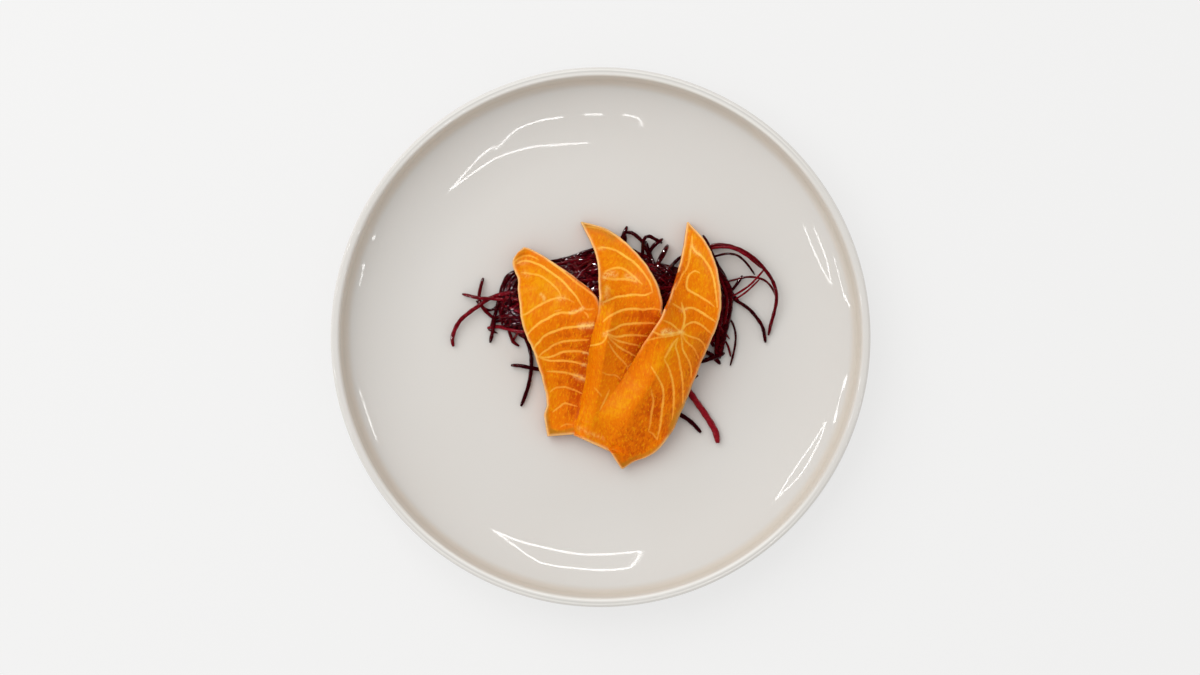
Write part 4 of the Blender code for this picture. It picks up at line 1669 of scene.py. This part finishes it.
LOOSE_SHREDS = shreds(
    # left of the heap
    (0.82, 0.7, 1.6, -29.9, 16.6, -34.7, 16.4, -39.2, 15.5, -42.6, 14, -45.6, 11.8, -49.3, 9.2,
     -52.7, 6.2, -54.9, 2.4, -55.7, -0.9, -55.3, -3.5),
    (0.68, 0.65, 2.4, -51.9, 16.2, -48.6, 15.3, -45.2, 14.6, -41.1, 14.4, -35.5, 14),
    (0.68, 0.35, 1.2, -44.1, 22.2, -45, 18.9, -45.6, 15.5, -45.2, 12.9, -43.3, 9.9, -40, 6.9),
    (0.54, 0.05, 0.6, -46.7, 13.6, -44.4, 11.4, -42.2, 10.1, -40, 10.6, -37.7, 12.9, -35.5, 14.4),
    (0.73, 0.15, 0.5, -39.6, 8.8, -40.2, 3.9, -41.5, -2.1),
    (0.68, 0.4, 0.3, -34.7, 2.8, -33.8, 0.6, -32.9, -1.7, -30.6, -3.4),
    (0.59, 0.6, 0.3, -32.9, -1.3, -31.7, 0.6, -30.3, 2.4),
    (0.5, 0.1, 0.8, -42.2, 2.8, -40.7, 2.2, -38.8, 1.5),
    # round the heap's edge, left and behind
    (0.68, 0.1, 0, -31, 25.2, -34.7, 23.3, -36.6, 20, -37.7, 16.2, -38.8, 11.8, -40, 7.3, -41.3,
     3.5),
    (0.68, 0.3, 0.3, -29.5, 24.5, -33.2, 21.8, -34.7, 17.7, -36.2, 12.9, -37.7, 8),
    (0.82, 0, 0.2, -31.4, 23.7, -34, 21.1, -35.5, 17.4, -36.2, 12.9),
    (0.77, 0.1, 0.1, -31.7, 24.7, -34.9, 22.4, -36.4, 18.9, -37, 14.8),
    (0.82, 0.05, 0.4, -30.3, 22.2, -32.7, 19.2, -33.6, 15.1, -34.4, 10.3),
    (0.77, 0.2, 0.6, -29.9, 20, -31.7, 16.6, -32.9, 12.5),
    (0.73, 0.8, 0.2, -42.6, 3.4, -38.5, 3.9, -34.7, 3, -31, 2.2, -28, 2.1),
    (0.73, 0.1, 0, -22.4, 26.7, -19.4, 28, -14.9, 29, -10.5, 30.1, -5.6, 32, 0, 33.6),
    (0.77, 0.5, 0.3, -20.5, 25.6, -14.9, 27.5, -9.3, 28.6, -4.5, 29.9, 0.7, 30.8),
    (0.73, 0.2, 0.3, -17.6, 23.7, -11.2, 23.3, -5.6, 25, 0, 26),
    (0.41, 0.5, 1.4, -10.5, 21.1, -7.5, 23.9, -4.5, 26.3, -1.5, 29.9),
    # below the left slice
    (0.75, 0.05, 0.2, -28.4, -0.2, -26.9, -3.5, -26.1, -7.3, -26.1, -12.1, -26.9, -17.4, -28.4,
     -22.2, -29.9, -26),
    (0.75, 0.05, 1.2, -33.6, -10.6, -29.9, -10.8, -26.1, -11.6, -20.5, -12.5),
    # behind, between the middle and the right slice
    (0.82, 0.05, 1, 6.7, 34.2, 7.8, 36.6, 9, 39.2, 9.9, 41.5),
    (0.64, 0.05, 0.6, 9.2, 34.2, 9.3, 36.8, 9.2, 39.4),
    (0.75, 0.05, 2, 9.3, 39.3, 11.6, 39.2, 13.6, 37.8, 15.3, 36.2, 16.4, 34.2, 18.3, 30.8, 20.5,
     26.7),
    (0.7, 0.05, 3, 15.8, 29.7, 15.8, 33.4, 16.1, 36.2, 16.9, 37.5, 18.3, 37.8, 20, 37, 23, 35.4),
    (0.77, 0.05, 1.6, 23.3, 36.9, 21.7, 35.7, 20.2, 34.5, 19, 33, 17.9, 30.8),
    (0.68, 0.1, 1, 17, 36, 17.8, 33.4, 18.7, 30.6, 20.2, 27.5),
    (0.98, 0.05, 2, 25.2, 34.5, 23.8, 31.7, 22.4, 29.3, 21.1, 26.7),
    (0.88, 0.05, 1.4, 22.9, 27.2, 24.1, 26.1, 25.6, 24.7, 27.6, 22.6),
    (0.73, 0.05, 1, 30.4, 30.4, 28.2, 28.4, 26.1, 26.1, 23.9, 23),
    (0.59, 0.05, 0.4, 29.5, 24.3, 27.7, 23, 24.7, 19.6),
    (0.54, 0.05, 0.2, 12, 33.1, 13.8, 31.8, 15.7, 30.4, 18.7, 27.8),
    (0.73, 0.15, 0, 19.8, 27.8, 22.4, 25.8, 25.4, 23.9, 28.4, 21.1),
    (0.36, 0.6, 1.2, 20.5, 22.6, 22.8, 21.5, 25, 19.8),
    # right of the heap: wide loops
    (0.54, 0.05, 0.8, 38.5, 38.3, 40.3, 35.3, 41.8, 31.9, 43.7, 27.8, 45.6, 23.7, 47.8, 19.6),
    (0.68, 0.45, 3, 39.2, 33.8, 43, 34.6, 47.1, 34.5, 51.5, 33.2, 55.3, 31.2, 58.6, 28.6, 61.6,
     25.2, 64.2, 21.5, 65.7, 17.4, 65.9, 13.3, 65, 8.8, 63.9, 4.7, 63.1, 0.7),
    (0.59, 0.75, 3.3, 41.1, 33.3, 45.6, 33.8, 49.7, 33.2, 53.8, 31.2, 57.1, 28.8, 60.5, 26),
    (0.45, 0.05, 4, 41.5, 29.9, 45.6, 31, 48.6, 31.2, 51.5, 30.4, 54.2, 28.2, 56.4, 25.6, 57.9,
     23.5),
    (0.43, 0.4, 2, 47.1, 20.7, 52.3, 22, 56, 22.6, 59.8, 22, 62.4, 20.7, 64.6, 18.1, 65.7, 15.5),
    (0.41, 0.8, 3, 48.6, 14.8, 53, 17.4, 56, 19.6, 58.6, 22.2, 62, 26),
    (0.36, 0.8, 2.4, 50, 13.8, 54.2, 16.6, 57.1, 19.2, 59.8, 21.8),
    (0.61, 0, 1.4, 48.9, 17, 51.2, 20, 53.2, 23),
    (0.68, 0.05, 0.8, 49.7, 14.4, 53, 12.5, 56, 10.3, 58.6, 7.3, 60.9, 3.5, 62, -2.1),
    (0.43, 0.05, 1, 46.7, 8.4, 49.3, 5.8, 50.6, 1.7, 50.6, -2.1, 49.9, -6.2, 48.7, -10.8),
    (0.45, 0.4, 0.5, 45.9, -0.2, 47.8, -3.2, 48.9, -7.3),
    # the bundle along the right slice
    (0.73, 0.05, 0.6, 41.1, 30.1, 44.1, 25.6, 46.7, 21.5, 48.6, 17, 48.6, 12.1, 47.8, 6.9, 46.7,
     1.3, 45.6, -4.7),
    (0.73, 0.5, 2, 40.3, 28.9, 43, 24.8, 45.6, 20.4, 47.2, 15.5, 47.2, 11, 46.5, 6.2, 45.6, 0.9,
     44.8, -5.4),
    (0.73, 0.1, 1.4, 39.6, 26.7, 42.2, 22.6, 44.4, 18.5, 45.8, 14, 45.6, 9.5, 45, 5, 44.3, 0.2,
     44.1, -6.2),
    (0.64, 0.05, 0.4, 42.2, 14.8, 44.1, 11, 43.9, 6.2, 43.3, 1.7, 43.7, -3.5),
    (0.64, 0.1, 0.2, 43.3, 28.2, 45.9, 24.1, 47.8, 20.4, 49.7, 15.9, 51.9, 13.6),
    (1.18, 0.15, 1.2, 43.3, 26, 46.3, 21.8, 48.4, 17.4, 48.6, 12.9, 47.8, 7.3, 46.5, 1.7, 45.2,
     -3.9, 44.4, -8),
    (1.04, 0.3, 0.8, 41.5, 23.3, 43.7, 18.5, 45, 13.6, 44.8, 8.8, 44.3, 3.5, 43.9, -1.7, 43.5,
     -6.9),
    (0.43, 0.55, 2.6, 41.8, 7.7, 44.8, 3.7, 48.4, -0.6),
    (0.88, 0.05, 0.6, 38.5, -4.9, 41.8, -6.9, 45, -10.1),
    (0.88, 0.05, 1.2, 37.7, -9.4, 40.7, -8.2, 43.7, -7.3, 46.5, -6),
    # below the right slice
    (1.23, 1.05, 0, 29.5, -14.9, 33.1, -20.2, 35.5, -23.7, 38.5, -27.8, 41.3, -32.1, 43.3, -36, 44,
     -39.8),
    (0.82, 0, 0, 26.5, -26.7, 29.9, -29.1, 32.6, -30.8, 35, -32.8, 37.7, -35.9),
    (0.73, 0.05, 0.6, 31.4, -17.4, 34, -15.7, 36.6, -14.4),
)

HEAP_OUTLINE = pairs(
    -40.9, 3.2, -39.8, 8, -37.9, 16.2, -35.7, 22.5, -31.6, 25.1, -26, 26.6, -19.3, 28.6, -10.4,
    30.7, -1.1, 33.9, 5.6, 34, 11.9, 33.1, 15.6, 34.8, 18.6, 32.5, 20.5, 29.9, 21.9, 28.1, 23.8,
    25.7, 26.4, 24.7, 28.6, 23.2, 33.5, 28.1, 38.3, 31.1, 40.9, 29.6, 43.2, 26.6, 45.6, 23.2, 48,
    19.9, 49.3, 16.2, 48.9, 12.1, 48.2, 6.5, 46.9, 0.9, 45, -5.8, 42.4, -4.3, 39.4, -2, 33.5, -5.4,
    14.9, -6.9, -3.7, -5.4, -14.9, -2.8, -27.5, 1.9, -35.3, 2.6
)


def inside(x: float, y: float, outline: Points) -> bool:
    """Whether a plan point lies inside a closed outline.

    Args:
        x: The point's x, in mm.
        y: Its y, in mm.
        outline: The outline's corners, in mm.

    Returns:
        Whether it does.
    """
    crossings = 0
    for (ax, ay), (bx, by) in zip(outline, (*outline[1:], outline[0])):
        if (ay > y) != (by > y) and x < ax + (y - ay) / (by - ay) * (bx - ax):
            crossings += 1
    return crossings % 2 == 1


@dataclass
class ShredHeap:
    """A low heap of shredded beetroot under the slices, with loose shreds round it.

    The middles of the covering shreds follow a sunflower's spiral. Their half lengths and
    lifts are in mm. Most turn away from +X by up to the first heading in radians, and the
    rest by up to the second.
    """

    centre: Point = (4.5 * MM, 11 * MM)
    half_length: float = 44 * MM
    half_width: float = 19 * MM
    rise: float = 9.5 * MM
    fullness: float = 0.62
    clearance: float = 0.4 * MM
    under_gap: float = 0.15 * MM
    side_gap: float = 0.1 * MM
    lowering: float = 0.3 * MM
    lowering_tries: int = 20
    core_segments: tuple[int, int] = (192, 96)
    core_inset: float = 0.45 * MM
    core_tint: float = 0.25
    core_relief: float = 0.40 * MM
    core_grain: Pair = (3.2 * MM, 0.9 * MM)
    shred_step: float = 1.2 * MM
    shred_bevel: int = 2
    cut_ends: tuple[float, ...] = (0.55, 0.85)
    unevenness: float = 0.07
    uneven_turn: float = 1.9
    cover_tries: int = 820
    cover_seed: int = 7
    cover_spiral: float = 3 - math.sqrt(5)
    cover_reach: float = 1.15
    cover_area: Range = (0.02, 1.0)
    cover_aligned: float = 0.7
    cover_headings: Pair = (0.7, 1.6)
    cover_halves: Range = (3.5, 9)
    cover_bow: float = 0.4
    cover_end_bow: float = 0.4
    cover_radii: Range = (0.50 * MM, 0.85 * MM)
    cover_lifts: Range = (0.0, 1.0)
    cover_tint: float = 0.12
    cover_tint_roots: Range = (0.0, 0.80)
    cover_sunk: float = 0.5
    plate: Plate = field(default_factory=Plate)
    finish: BeetFlesh = BeetFlesh()
    slices: list[BVHTree] = field(default_factory=list)

    def top(self, x: float, y: float) -> float:
        """Height of the heap's surface at a plan point, or the floor's beside it.

        Args:
            x: The point's x.
            y: Its y.

        Returns:
            The height.
        """
        across = ((x - self.centre[0]) / self.half_length) ** 2
        along = ((y - self.centre[1]) / self.half_width) ** 2
        free = max(0.0, 1 - across - along)
        return self.plate.floor_height + self.clearance + self.rise * free**self.fullness

    def clear_of_slices(self, spot: Vector, radius: float) -> Vector:
        """Lower a point of a shred until the shred is clear of every slice.

        Args:
            spot: A point on the shred's centre line.
            radius: The shred's radius.

        Returns:
            The lowered point.
        """
        low = Vector((spot.x, spot.y, self.plate.floor_height))
        reach = radius + self.side_gap
        for tree in self.slices:
            hit = tree.ray_cast(low, UP)[0]
            if hit is not None:
                highest = hit.z - radius - self.under_gap
                if spot.z > highest:
                    spot.z = highest
            for _ in range(self.lowering_tries):
                near, _, _, gap = tree.find_nearest(spot, reach)
                if near is None or gap > reach:
                    break
                spot.z -= self.lowering
        return spot

    def laid(
        self, route: list[Vector], radius: float, lift: float, sunk: float = 0.0
    ) -> list[Vector]:
        """Give a plan route its heights on the plate or the heap.

        Args:
            route: Plan points.
            radius: The shred's radius.
            lift: How much higher its middle lies.
            sunk: Share of the radius by which it lies in the heap.

        Returns:
            Points of its centre line.
        """
        points = []
        for index, spot in enumerate(route):
            share = index / (len(route) - 1)
            on_heap = self.top(spot.x, spot.y) - sunk * radius
            on_plate = self.plate.well_height(spot.xy.length) + self.clearance / 4
            height = max(on_heap, on_plate) + radius + lift * math.sin(math.pi * share)
            points.append(self.clear_of_slices(Vector((spot.x, spot.y, height)), radius))
        return points

    def loose(self) -> Iterator[Strand]:
        """Each loose shred."""
        for shred in LOOSE_SHREDS:
            radius = shred.radius * MM
            route = smooth_route(shred.route, self.shred_step)
            yield self.laid(route, radius, shred.lift * MM), radius, shred.tint

    def cover(self) -> Iterator[Strand]:
        """Each shred that lies over the heap."""
        draw = random.Random(self.cover_seed)
        for index in range(self.cover_tries):
            reach = self.cover_reach * math.sqrt(draw.uniform(*self.cover_area))
            turn = index * math.pi * self.cover_spiral
            x = self.centre[0] + self.half_length * math.cos(turn) * reach
            y = self.centre[1] + self.half_width * math.sin(turn) * reach
            aligned, stray = self.cover_headings
            most = aligned if draw.random() < self.cover_aligned else stray
            heading = draw.uniform(-most, most)
            half = Vector((math.cos(heading), math.sin(heading)))
            half = half * draw.uniform(*self.cover_halves)
            bow = half.orthogonal() * draw.uniform(-self.cover_bow, self.cover_bow)
            middle = Vector((x, y)) / MM
            end = middle + half + bow * self.cover_end_bow
            ends = tuple(middle - half), tuple(middle + bow), tuple(end)
            radius = draw.uniform(*self.cover_radii)
            lift = draw.uniform(*self.cover_lifts) * MM
            tint = self.cover_tint + draw.uniform(*self.cover_tint_roots) ** 2
            route = smooth_route(ends, self.shred_step)
            if all(inside(spot.x / MM, spot.y / MM, HEAP_OUTLINE) for spot in route):
                yield self.laid(route, radius, lift, self.cover_sunk), radius, tint

    def strand(self, points: list[Vector], radius: float) -> bpy.types.Mesh:
        """A shred with slightly narrower cut ends.

        Args:
            points: Its centre line.
            radius: Its radius.

        Returns:
            A closed mesh.
        """
        curve = bpy.data.curves.new("strand", "CURVE")
        curve.dimensions = "3D"
        curve.bevel_depth = radius
        curve.bevel_resolution = self.shred_bevel
        curve.use_fill_caps = True
        spline = curve.splines.new("POLY")
        last = len(points) - 1
        spline.points.add(last)
        for index, (target, point) in enumerate(zip(spline.points, points)):
            target.co = (*point, 1)
            to_end = min(index, last - index)
            if to_end < len(self.cut_ends):
                target.radius = self.cut_ends[to_end]
            else:
                target.radius = 1 + self.unevenness * math.sin(self.uneven_turn * index)
        helper = bpy.data.objects.new("strand", curve)
        mesh = bpy.data.meshes.new_from_object(helper)
        bpy.data.objects.remove(helper)
        bpy.data.curves.remove(curve)
        return mesh

    def joined(self, name: str, strands: Iterator[Strand]) -> bpy.types.Mesh:
        """Join shreds into one mesh that carries each shred's tint.

        Args:
            name: Name of the mesh.
            strands: The shreds.

        Returns:
            The joined mesh.
        """
        bm = bmesh.new()
        tints = []
        for points, radius, tint in strands:
            mesh = self.strand(points, radius)
            bm.from_mesh(mesh)
            tints += [tint] * len(mesh.vertices)
            bpy.data.meshes.remove(mesh)
        mesh = mesh_from(bm, name)
        set_attribute(mesh, "tint", np.array(tints))
        bm = bmesh.new()
        bm.from_mesh(mesh)
        bpy.data.meshes.remove(mesh)
        bmesh.ops.remove_doubles(bm, verts=bm.verts, dist=WELD)
        return mesh_from(bm, name)

    def core(self) -> bpy.types.Mesh:
        """The heap's dark inside, a little below its surface."""
        bm = bmesh.new()
        around, up = self.core_segments
        bmesh.ops.create_uvsphere(bm, u_segments=around, v_segments=up, radius=1)
        base = self.plate.floor_height + self.clearance
        shrink = 1 - self.core_inset / self.half_width
        for vert in bm.verts:
            above = vert.co.z > 0
            vert.co.x = self.centre[0] + self.half_length * vert.co.x * shrink
            vert.co.y = self.centre[1] + self.half_width * vert.co.y * shrink
            spot = Vector((vert.co.x / self.core_grain[0], vert.co.y / self.core_grain[1], 0))
            surface = self.top(vert.co.x, vert.co.y) - self.core_inset
            surface += self.core_relief * noise.noise(spot)
            vert.co.z = max(base, surface) if above else base
        bmesh.ops.remove_doubles(bm, verts=bm.verts, dist=WELD)
        mesh = mesh_from(bm, "beet_core")
        set_attribute(mesh, "tint", np.full(len(mesh.vertices), self.core_tint))
        set_attribute(mesh, "inner", np.ones(len(mesh.vertices)))
        return mesh

    def build(self, slices: list[bpy.types.Object]) -> list[bpy.types.Object]:
        """Make the heap under the slices.

        Args:
            slices: The slices, already in place.

        Returns:
            The core, the shreds over it and the loose shreds.
        """
        graph = bpy.context.evaluated_depsgraph_get()
        self.slices = [BVHTree.FromObject(obj, graph) for obj in slices]
        material = self.finish.material()
        meshes = [
            self.core(),
            self.joined("beet_cover_shreds", self.cover()),
            self.joined("beet_loose_shreds", self.loose()),
        ]
        return [add_piece(mesh, material, Node.SHREDS, Slot.BEETROOT) for mesh in meshes]


# Studio ----------------------------------------------------------------------------


@dataclass(frozen=True)
class Glint:
    """A thin bright line that the plate mirrors.

    Its points are (degrees round the plate, mm from its axis), and its width is in mm.
    """

    points: Points
    width: float


def glints(*rows: tuple[float, ...]) -> tuple[Glint, ...]:
    """Bright lines from rows of width in mm and the points' angle, distance and so on."""
    return tuple(Glint(pairs(*row[1:]), row[0]) for row in rows)


GLINTS = glints(
    # window frames behind the diner, seen at the top of the well
    (0.6, 135.7, 79.1, 123.8, 81.4, 119.5, 82),
    (0.6, 118.8, 80.8, 114.8, 82.8, 111.4, 84.1, 105.7, 84.3, 99.7, 83.7),
    (0.6, 119.5, 82, 118.8, 80.8),
    (0.6, 94.3, 83.6, 92.2, 83.7, 89.4, 83.4),
    (0.6, 84, 83.9, 81.9, 83.7, 80, 83.2, 78.9, 80.6),
    (0.6, 135.7, 79.1, 125.5, 78, 118.8, 77.6, 110.4, 76.1, 104.8, 74.6, 94, 73.2),
    # and at the bottom
    (0.65, -119.2, 82.9, -116, 82.7, -108.8, 82.1, -94.1, 81.8, -79.3, 81.9),
    (0.9, -79.3, 81.9, -81, 85.1, -82.7, 87),
    (0.6, -82.7, 87.2, -90.1, 87.3, -100.1, 87.3, -105.1, 87.5),
    (0.6, -105.1, 87.5, -109.3, 85.9, -113.9, 84.1, -119.2, 82.9),
    # short ones along both sides
    (0.42, 28.8, 86.8, 18.4, 86.6, 12.8, 88.7),
    (0.42, 12.8, 88.7, 19.5, 89.4, 27, 89.8),
    (0.42, 19, 92.5, 11, 92.5, 6.8, 93.8),
    (0.42, -42.9, 89.4, -32.2, 88, -27, 88.8, -20.5, 90.1),
    (0.42, -20.5, 90.1, -25.9, 90.6, -34.2, 90.8, -42.9, 89.4),
    (0.42, -9, 93.3, -14.2, 92.7, -20.1, 93.2),
    (0.66, -167.4, 92.6, -155.3, 92.4),
    (0.7, 162.8, 92.8, 168, 92.4),
    (0.8, 155.9, 92.7, 156.8, 92.7),
)


@dataclass(frozen=True)
class Gleam:
    """A small square lamp that only moist food mirrors: watts, where it hangs and its side."""

    power: float
    place: Triple
    size: float


@dataclass
class Studio:
    """Camera straight above, a pale floor, soft light and bright frames that the glaze mirrors."""

    eye: Vector = field(default_factory=lambda: Vector((-0.22 * MM, -0.15 * MM, 884 * MM)))
    lens: float = 70.0
    sensor: float = 36.0
    clip: Range = (0.01, 50)
    dome_radius: float = 3.0
    floor_half: float = 6.0
    floor_drop: float = 0.05 * MM
    sky: float = 0.715
    sky_colour: Colour = (1.0, 0.985, 0.96)
    key_power: float = 12.4
    key_size: float = 1.5
    key_place: Vector = field(default_factory=lambda: Vector((-0.75, 0.65, 1.15)))
    glint_power: float = 11.0
    glint_step: float = 1.2 * MM
    salmon_gleams: tuple[Gleam, ...] = (
        Gleam(5.0, (-0.35, 0.75, 1.25), 0.30),
        Gleam(5.0, (-0.85, 0.25, 1.15), 0.30),
    )
    beet_gleams: tuple[Gleam, ...] = (
        Gleam(30.0, (-0.50, 1.05, 0.80), 0.12),
        Gleam(10.0, (-1.10, -0.25, 0.85), 0.12),
    )
    plate: Plate = field(default_factory=Plate)
    glazed: bpy.types.Collection | None = None

    def camera(self) -> None:
        """Look straight down with the plate in the middle."""
        lens = bpy.data.cameras.new("camera")
        lens.lens = self.lens
        lens.sensor_width = self.sensor
        lens.clip_start, lens.clip_end = self.clip
        made = bpy.data.objects.new("camera", lens)
        made.location = self.eye
        bpy.context.scene.collection.objects.link(made)
        bpy.context.scene.camera = made

    def floor(self) -> None:
        """Lay the floor under the plate's foot."""
        bm = bmesh.new()
        bmesh.ops.create_grid(bm, x_segments=1, y_segments=1, size=self.floor_half)
        bmesh.ops.translate(bm, vec=(0, 0, -self.floor_drop), verts=bm.verts)
        add_object(mesh_from(bm, "floor"), PaleFloor().material())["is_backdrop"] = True

    def light(self) -> None:
        """Soft light from all round, stronger from the upper left."""
        world = bpy.data.worlds.new("studio")
        world.use_nodes = True
        inputs = world.node_tree.nodes["Background"].inputs
        inputs["Color"].default_value = (*self.sky_colour, 1.0)
        inputs["Strength"].default_value = self.sky
        world.cycles_visibility.glossy = False
        bpy.context.scene.world = world
        bpy.context.scene.view_settings.view_transform = "Standard"
        self.lamp("key", self.key_power, self.key_size, self.key_place).visible_glossy = False

    @staticmethod
    def lamp(name: str, power: float, size: float, place: Vector) -> bpy.types.Object:
        """Add a square lamp that faces the plate.

        Args:
            name: Its name.
            power: Its power in watts.
            size: Its side.
            place: Where it hangs.

        Returns:
            The lamp.
        """
        lamp = bpy.data.lights.new(name, "AREA")
        lamp.energy = power
        lamp.size = size
        made = bpy.data.objects.new(name, lamp)
        made.location = place
        made.rotation_euler = (-place).to_track_quat("-Z", "Y").to_euler()
        bpy.context.scene.collection.objects.link(made)
        return made

    def wet_light(self, food: list[bpy.types.Object], gleams: tuple[Gleam, ...]) -> None:
        """Small lamps that only some moist food mirrors.

        Args:
            food: Its pieces.
            gleams: The lamps.
        """
        moist = bpy.data.collections.new(f"moist_{food[0].name}")
        for piece in food:
            moist.objects.link(piece)
        for gleam in gleams:
            made = self.lamp("wet", gleam.power, gleam.size, Vector(gleam.place))
            made.visible_diffuse = False
            made.light_linking.receiver_collection = moist

    def mirrored(self, angle: float, distance: float) -> Vector:
        """Where on the dome a line has to be for the camera to see it at a place on the plate.

        Args:
            angle: Angle round the plate, in radians.
            distance: Distance from its axis.

        Returns:
            The point on the dome.
        """
        outward = Vector((math.cos(angle), math.sin(angle), 0))
        slope = self.plate.slope_at(distance)
        spot = outward * distance + Vector((0, 0, self.plate.well_height(distance)))
        normal = Vector((0, 0, math.cos(slope))) - outward * math.sin(slope)
        back = -(self.eye - spot).normalized().reflect(normal)
        along = spot.dot(back)
        through = math.sqrt(along**2 - spot.length_squared + self.dome_radius**2)
        return spot + back * (through - along)

    def strip(self, glint: Glint, index: int, material: bpy.types.Material) -> None:
        """Hang one bright line on the dome.

        Args:
            glint: The line as the plate shows it.
            index: Its number.
            material: A material that glows.
        """
        plan = []
        for degrees, distance in glint.points:
            angle = math.radians(degrees)
            plan.append((distance * math.cos(angle), distance * math.sin(angle)))
        route = smooth_route(tuple(plan), self.glint_step)
        bm = bmesh.new()
        middle = [bm.verts.new(point) for point in route]
        edges = [bm.edges.new(pair) for pair in zip(middle, middle[1:])]
        copies = bmesh.ops.extrude_edge_only(bm, edges=edges)["geom"]
        moved = [v for v in copies if isinstance(v, bmesh.types.BMVert)]
        sides = {tuple(v.co): v for v in moved}
        half = glint.width / 2 * MM
        for number, vert in enumerate(middle):
            before = route[max(number - 1, 0)]
            after = route[min(number + 1, len(route) - 1)]
            heading = (after - before).normalized()
            aside = Vector((-heading.y, heading.x, 0)) * half
            other = sides[tuple(vert.co)]
            other.co = vert.co + aside
            vert.co = vert.co - aside
        for vert in bm.verts:
            vert.co = self.mirrored(math.atan2(vert.co.y, vert.co.x), vert.co.xy.length)
        made = add_object(mesh_from(bm, f"bright_line_{index}"), material)
        made.light_linking.receiver_collection = self.glazed
        made.visible_camera = made.visible_diffuse = made.visible_shadow = False
        made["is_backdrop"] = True

    def build(
        self,
        dish: bpy.types.Object,
        salmon: list[bpy.types.Object],
        beetroot: list[bpy.types.Object],
    ) -> None:
        """Set the whole studio up.

        Args:
            dish: The plate.
            salmon: The slices.
            beetroot: The pieces of the heap.
        """
        self.glazed = bpy.data.collections.new("glazed")
        self.glazed.objects.link(dish)
        self.camera()
        self.floor()
        self.light()
        self.wet_light(salmon, self.salmon_gleams)
        self.wet_light(beetroot, self.beet_gleams)
        glow = Graph("bright_line").dress(
            Base_Color=(0.0, 0.0, 0.0),
            Emission_Color=(1.0, 1.0, 1.0),
            Emission_Strength=self.glint_power,
        )
        for index, glint in enumerate(GLINTS):
            self.strip(glint, index, glow)


def corners(box: tuple[Vector, Vector]) -> list[list[float]]:
    """A box's two corners as plain lists."""
    return [list(corner) for corner in box]


def report(*pieces: bpy.types.Object) -> None:
    """Log finished pieces."""
    for piece in pieces:
        LOG.info("%s: %d faces", piece.name, len(piece.data.polygons))


def main() -> None:
    """Build the dish and the studio."""
    logging.basicConfig(level=logging.INFO, format="%(name)s: %(message)s")
    cad_box = corners(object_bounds())
    plate = Plate()
    dish = plate.build()
    report(dish)
    salmon = SalmonFlesh().material()
    slices: list[bpy.types.Object] = []
    for shape in SLICES:
        slices.append(shape.build(salmon, slices[-1] if slices else None))
        report(slices[-1])
    heap = ShredHeap(plate=plate).build(slices)
    report(*heap)
    Studio(plate=plate).build(dish, slices, heap)
    {"cad": cad_box, "visual": corners(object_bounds())}


if __name__ == "__main__":
    main()
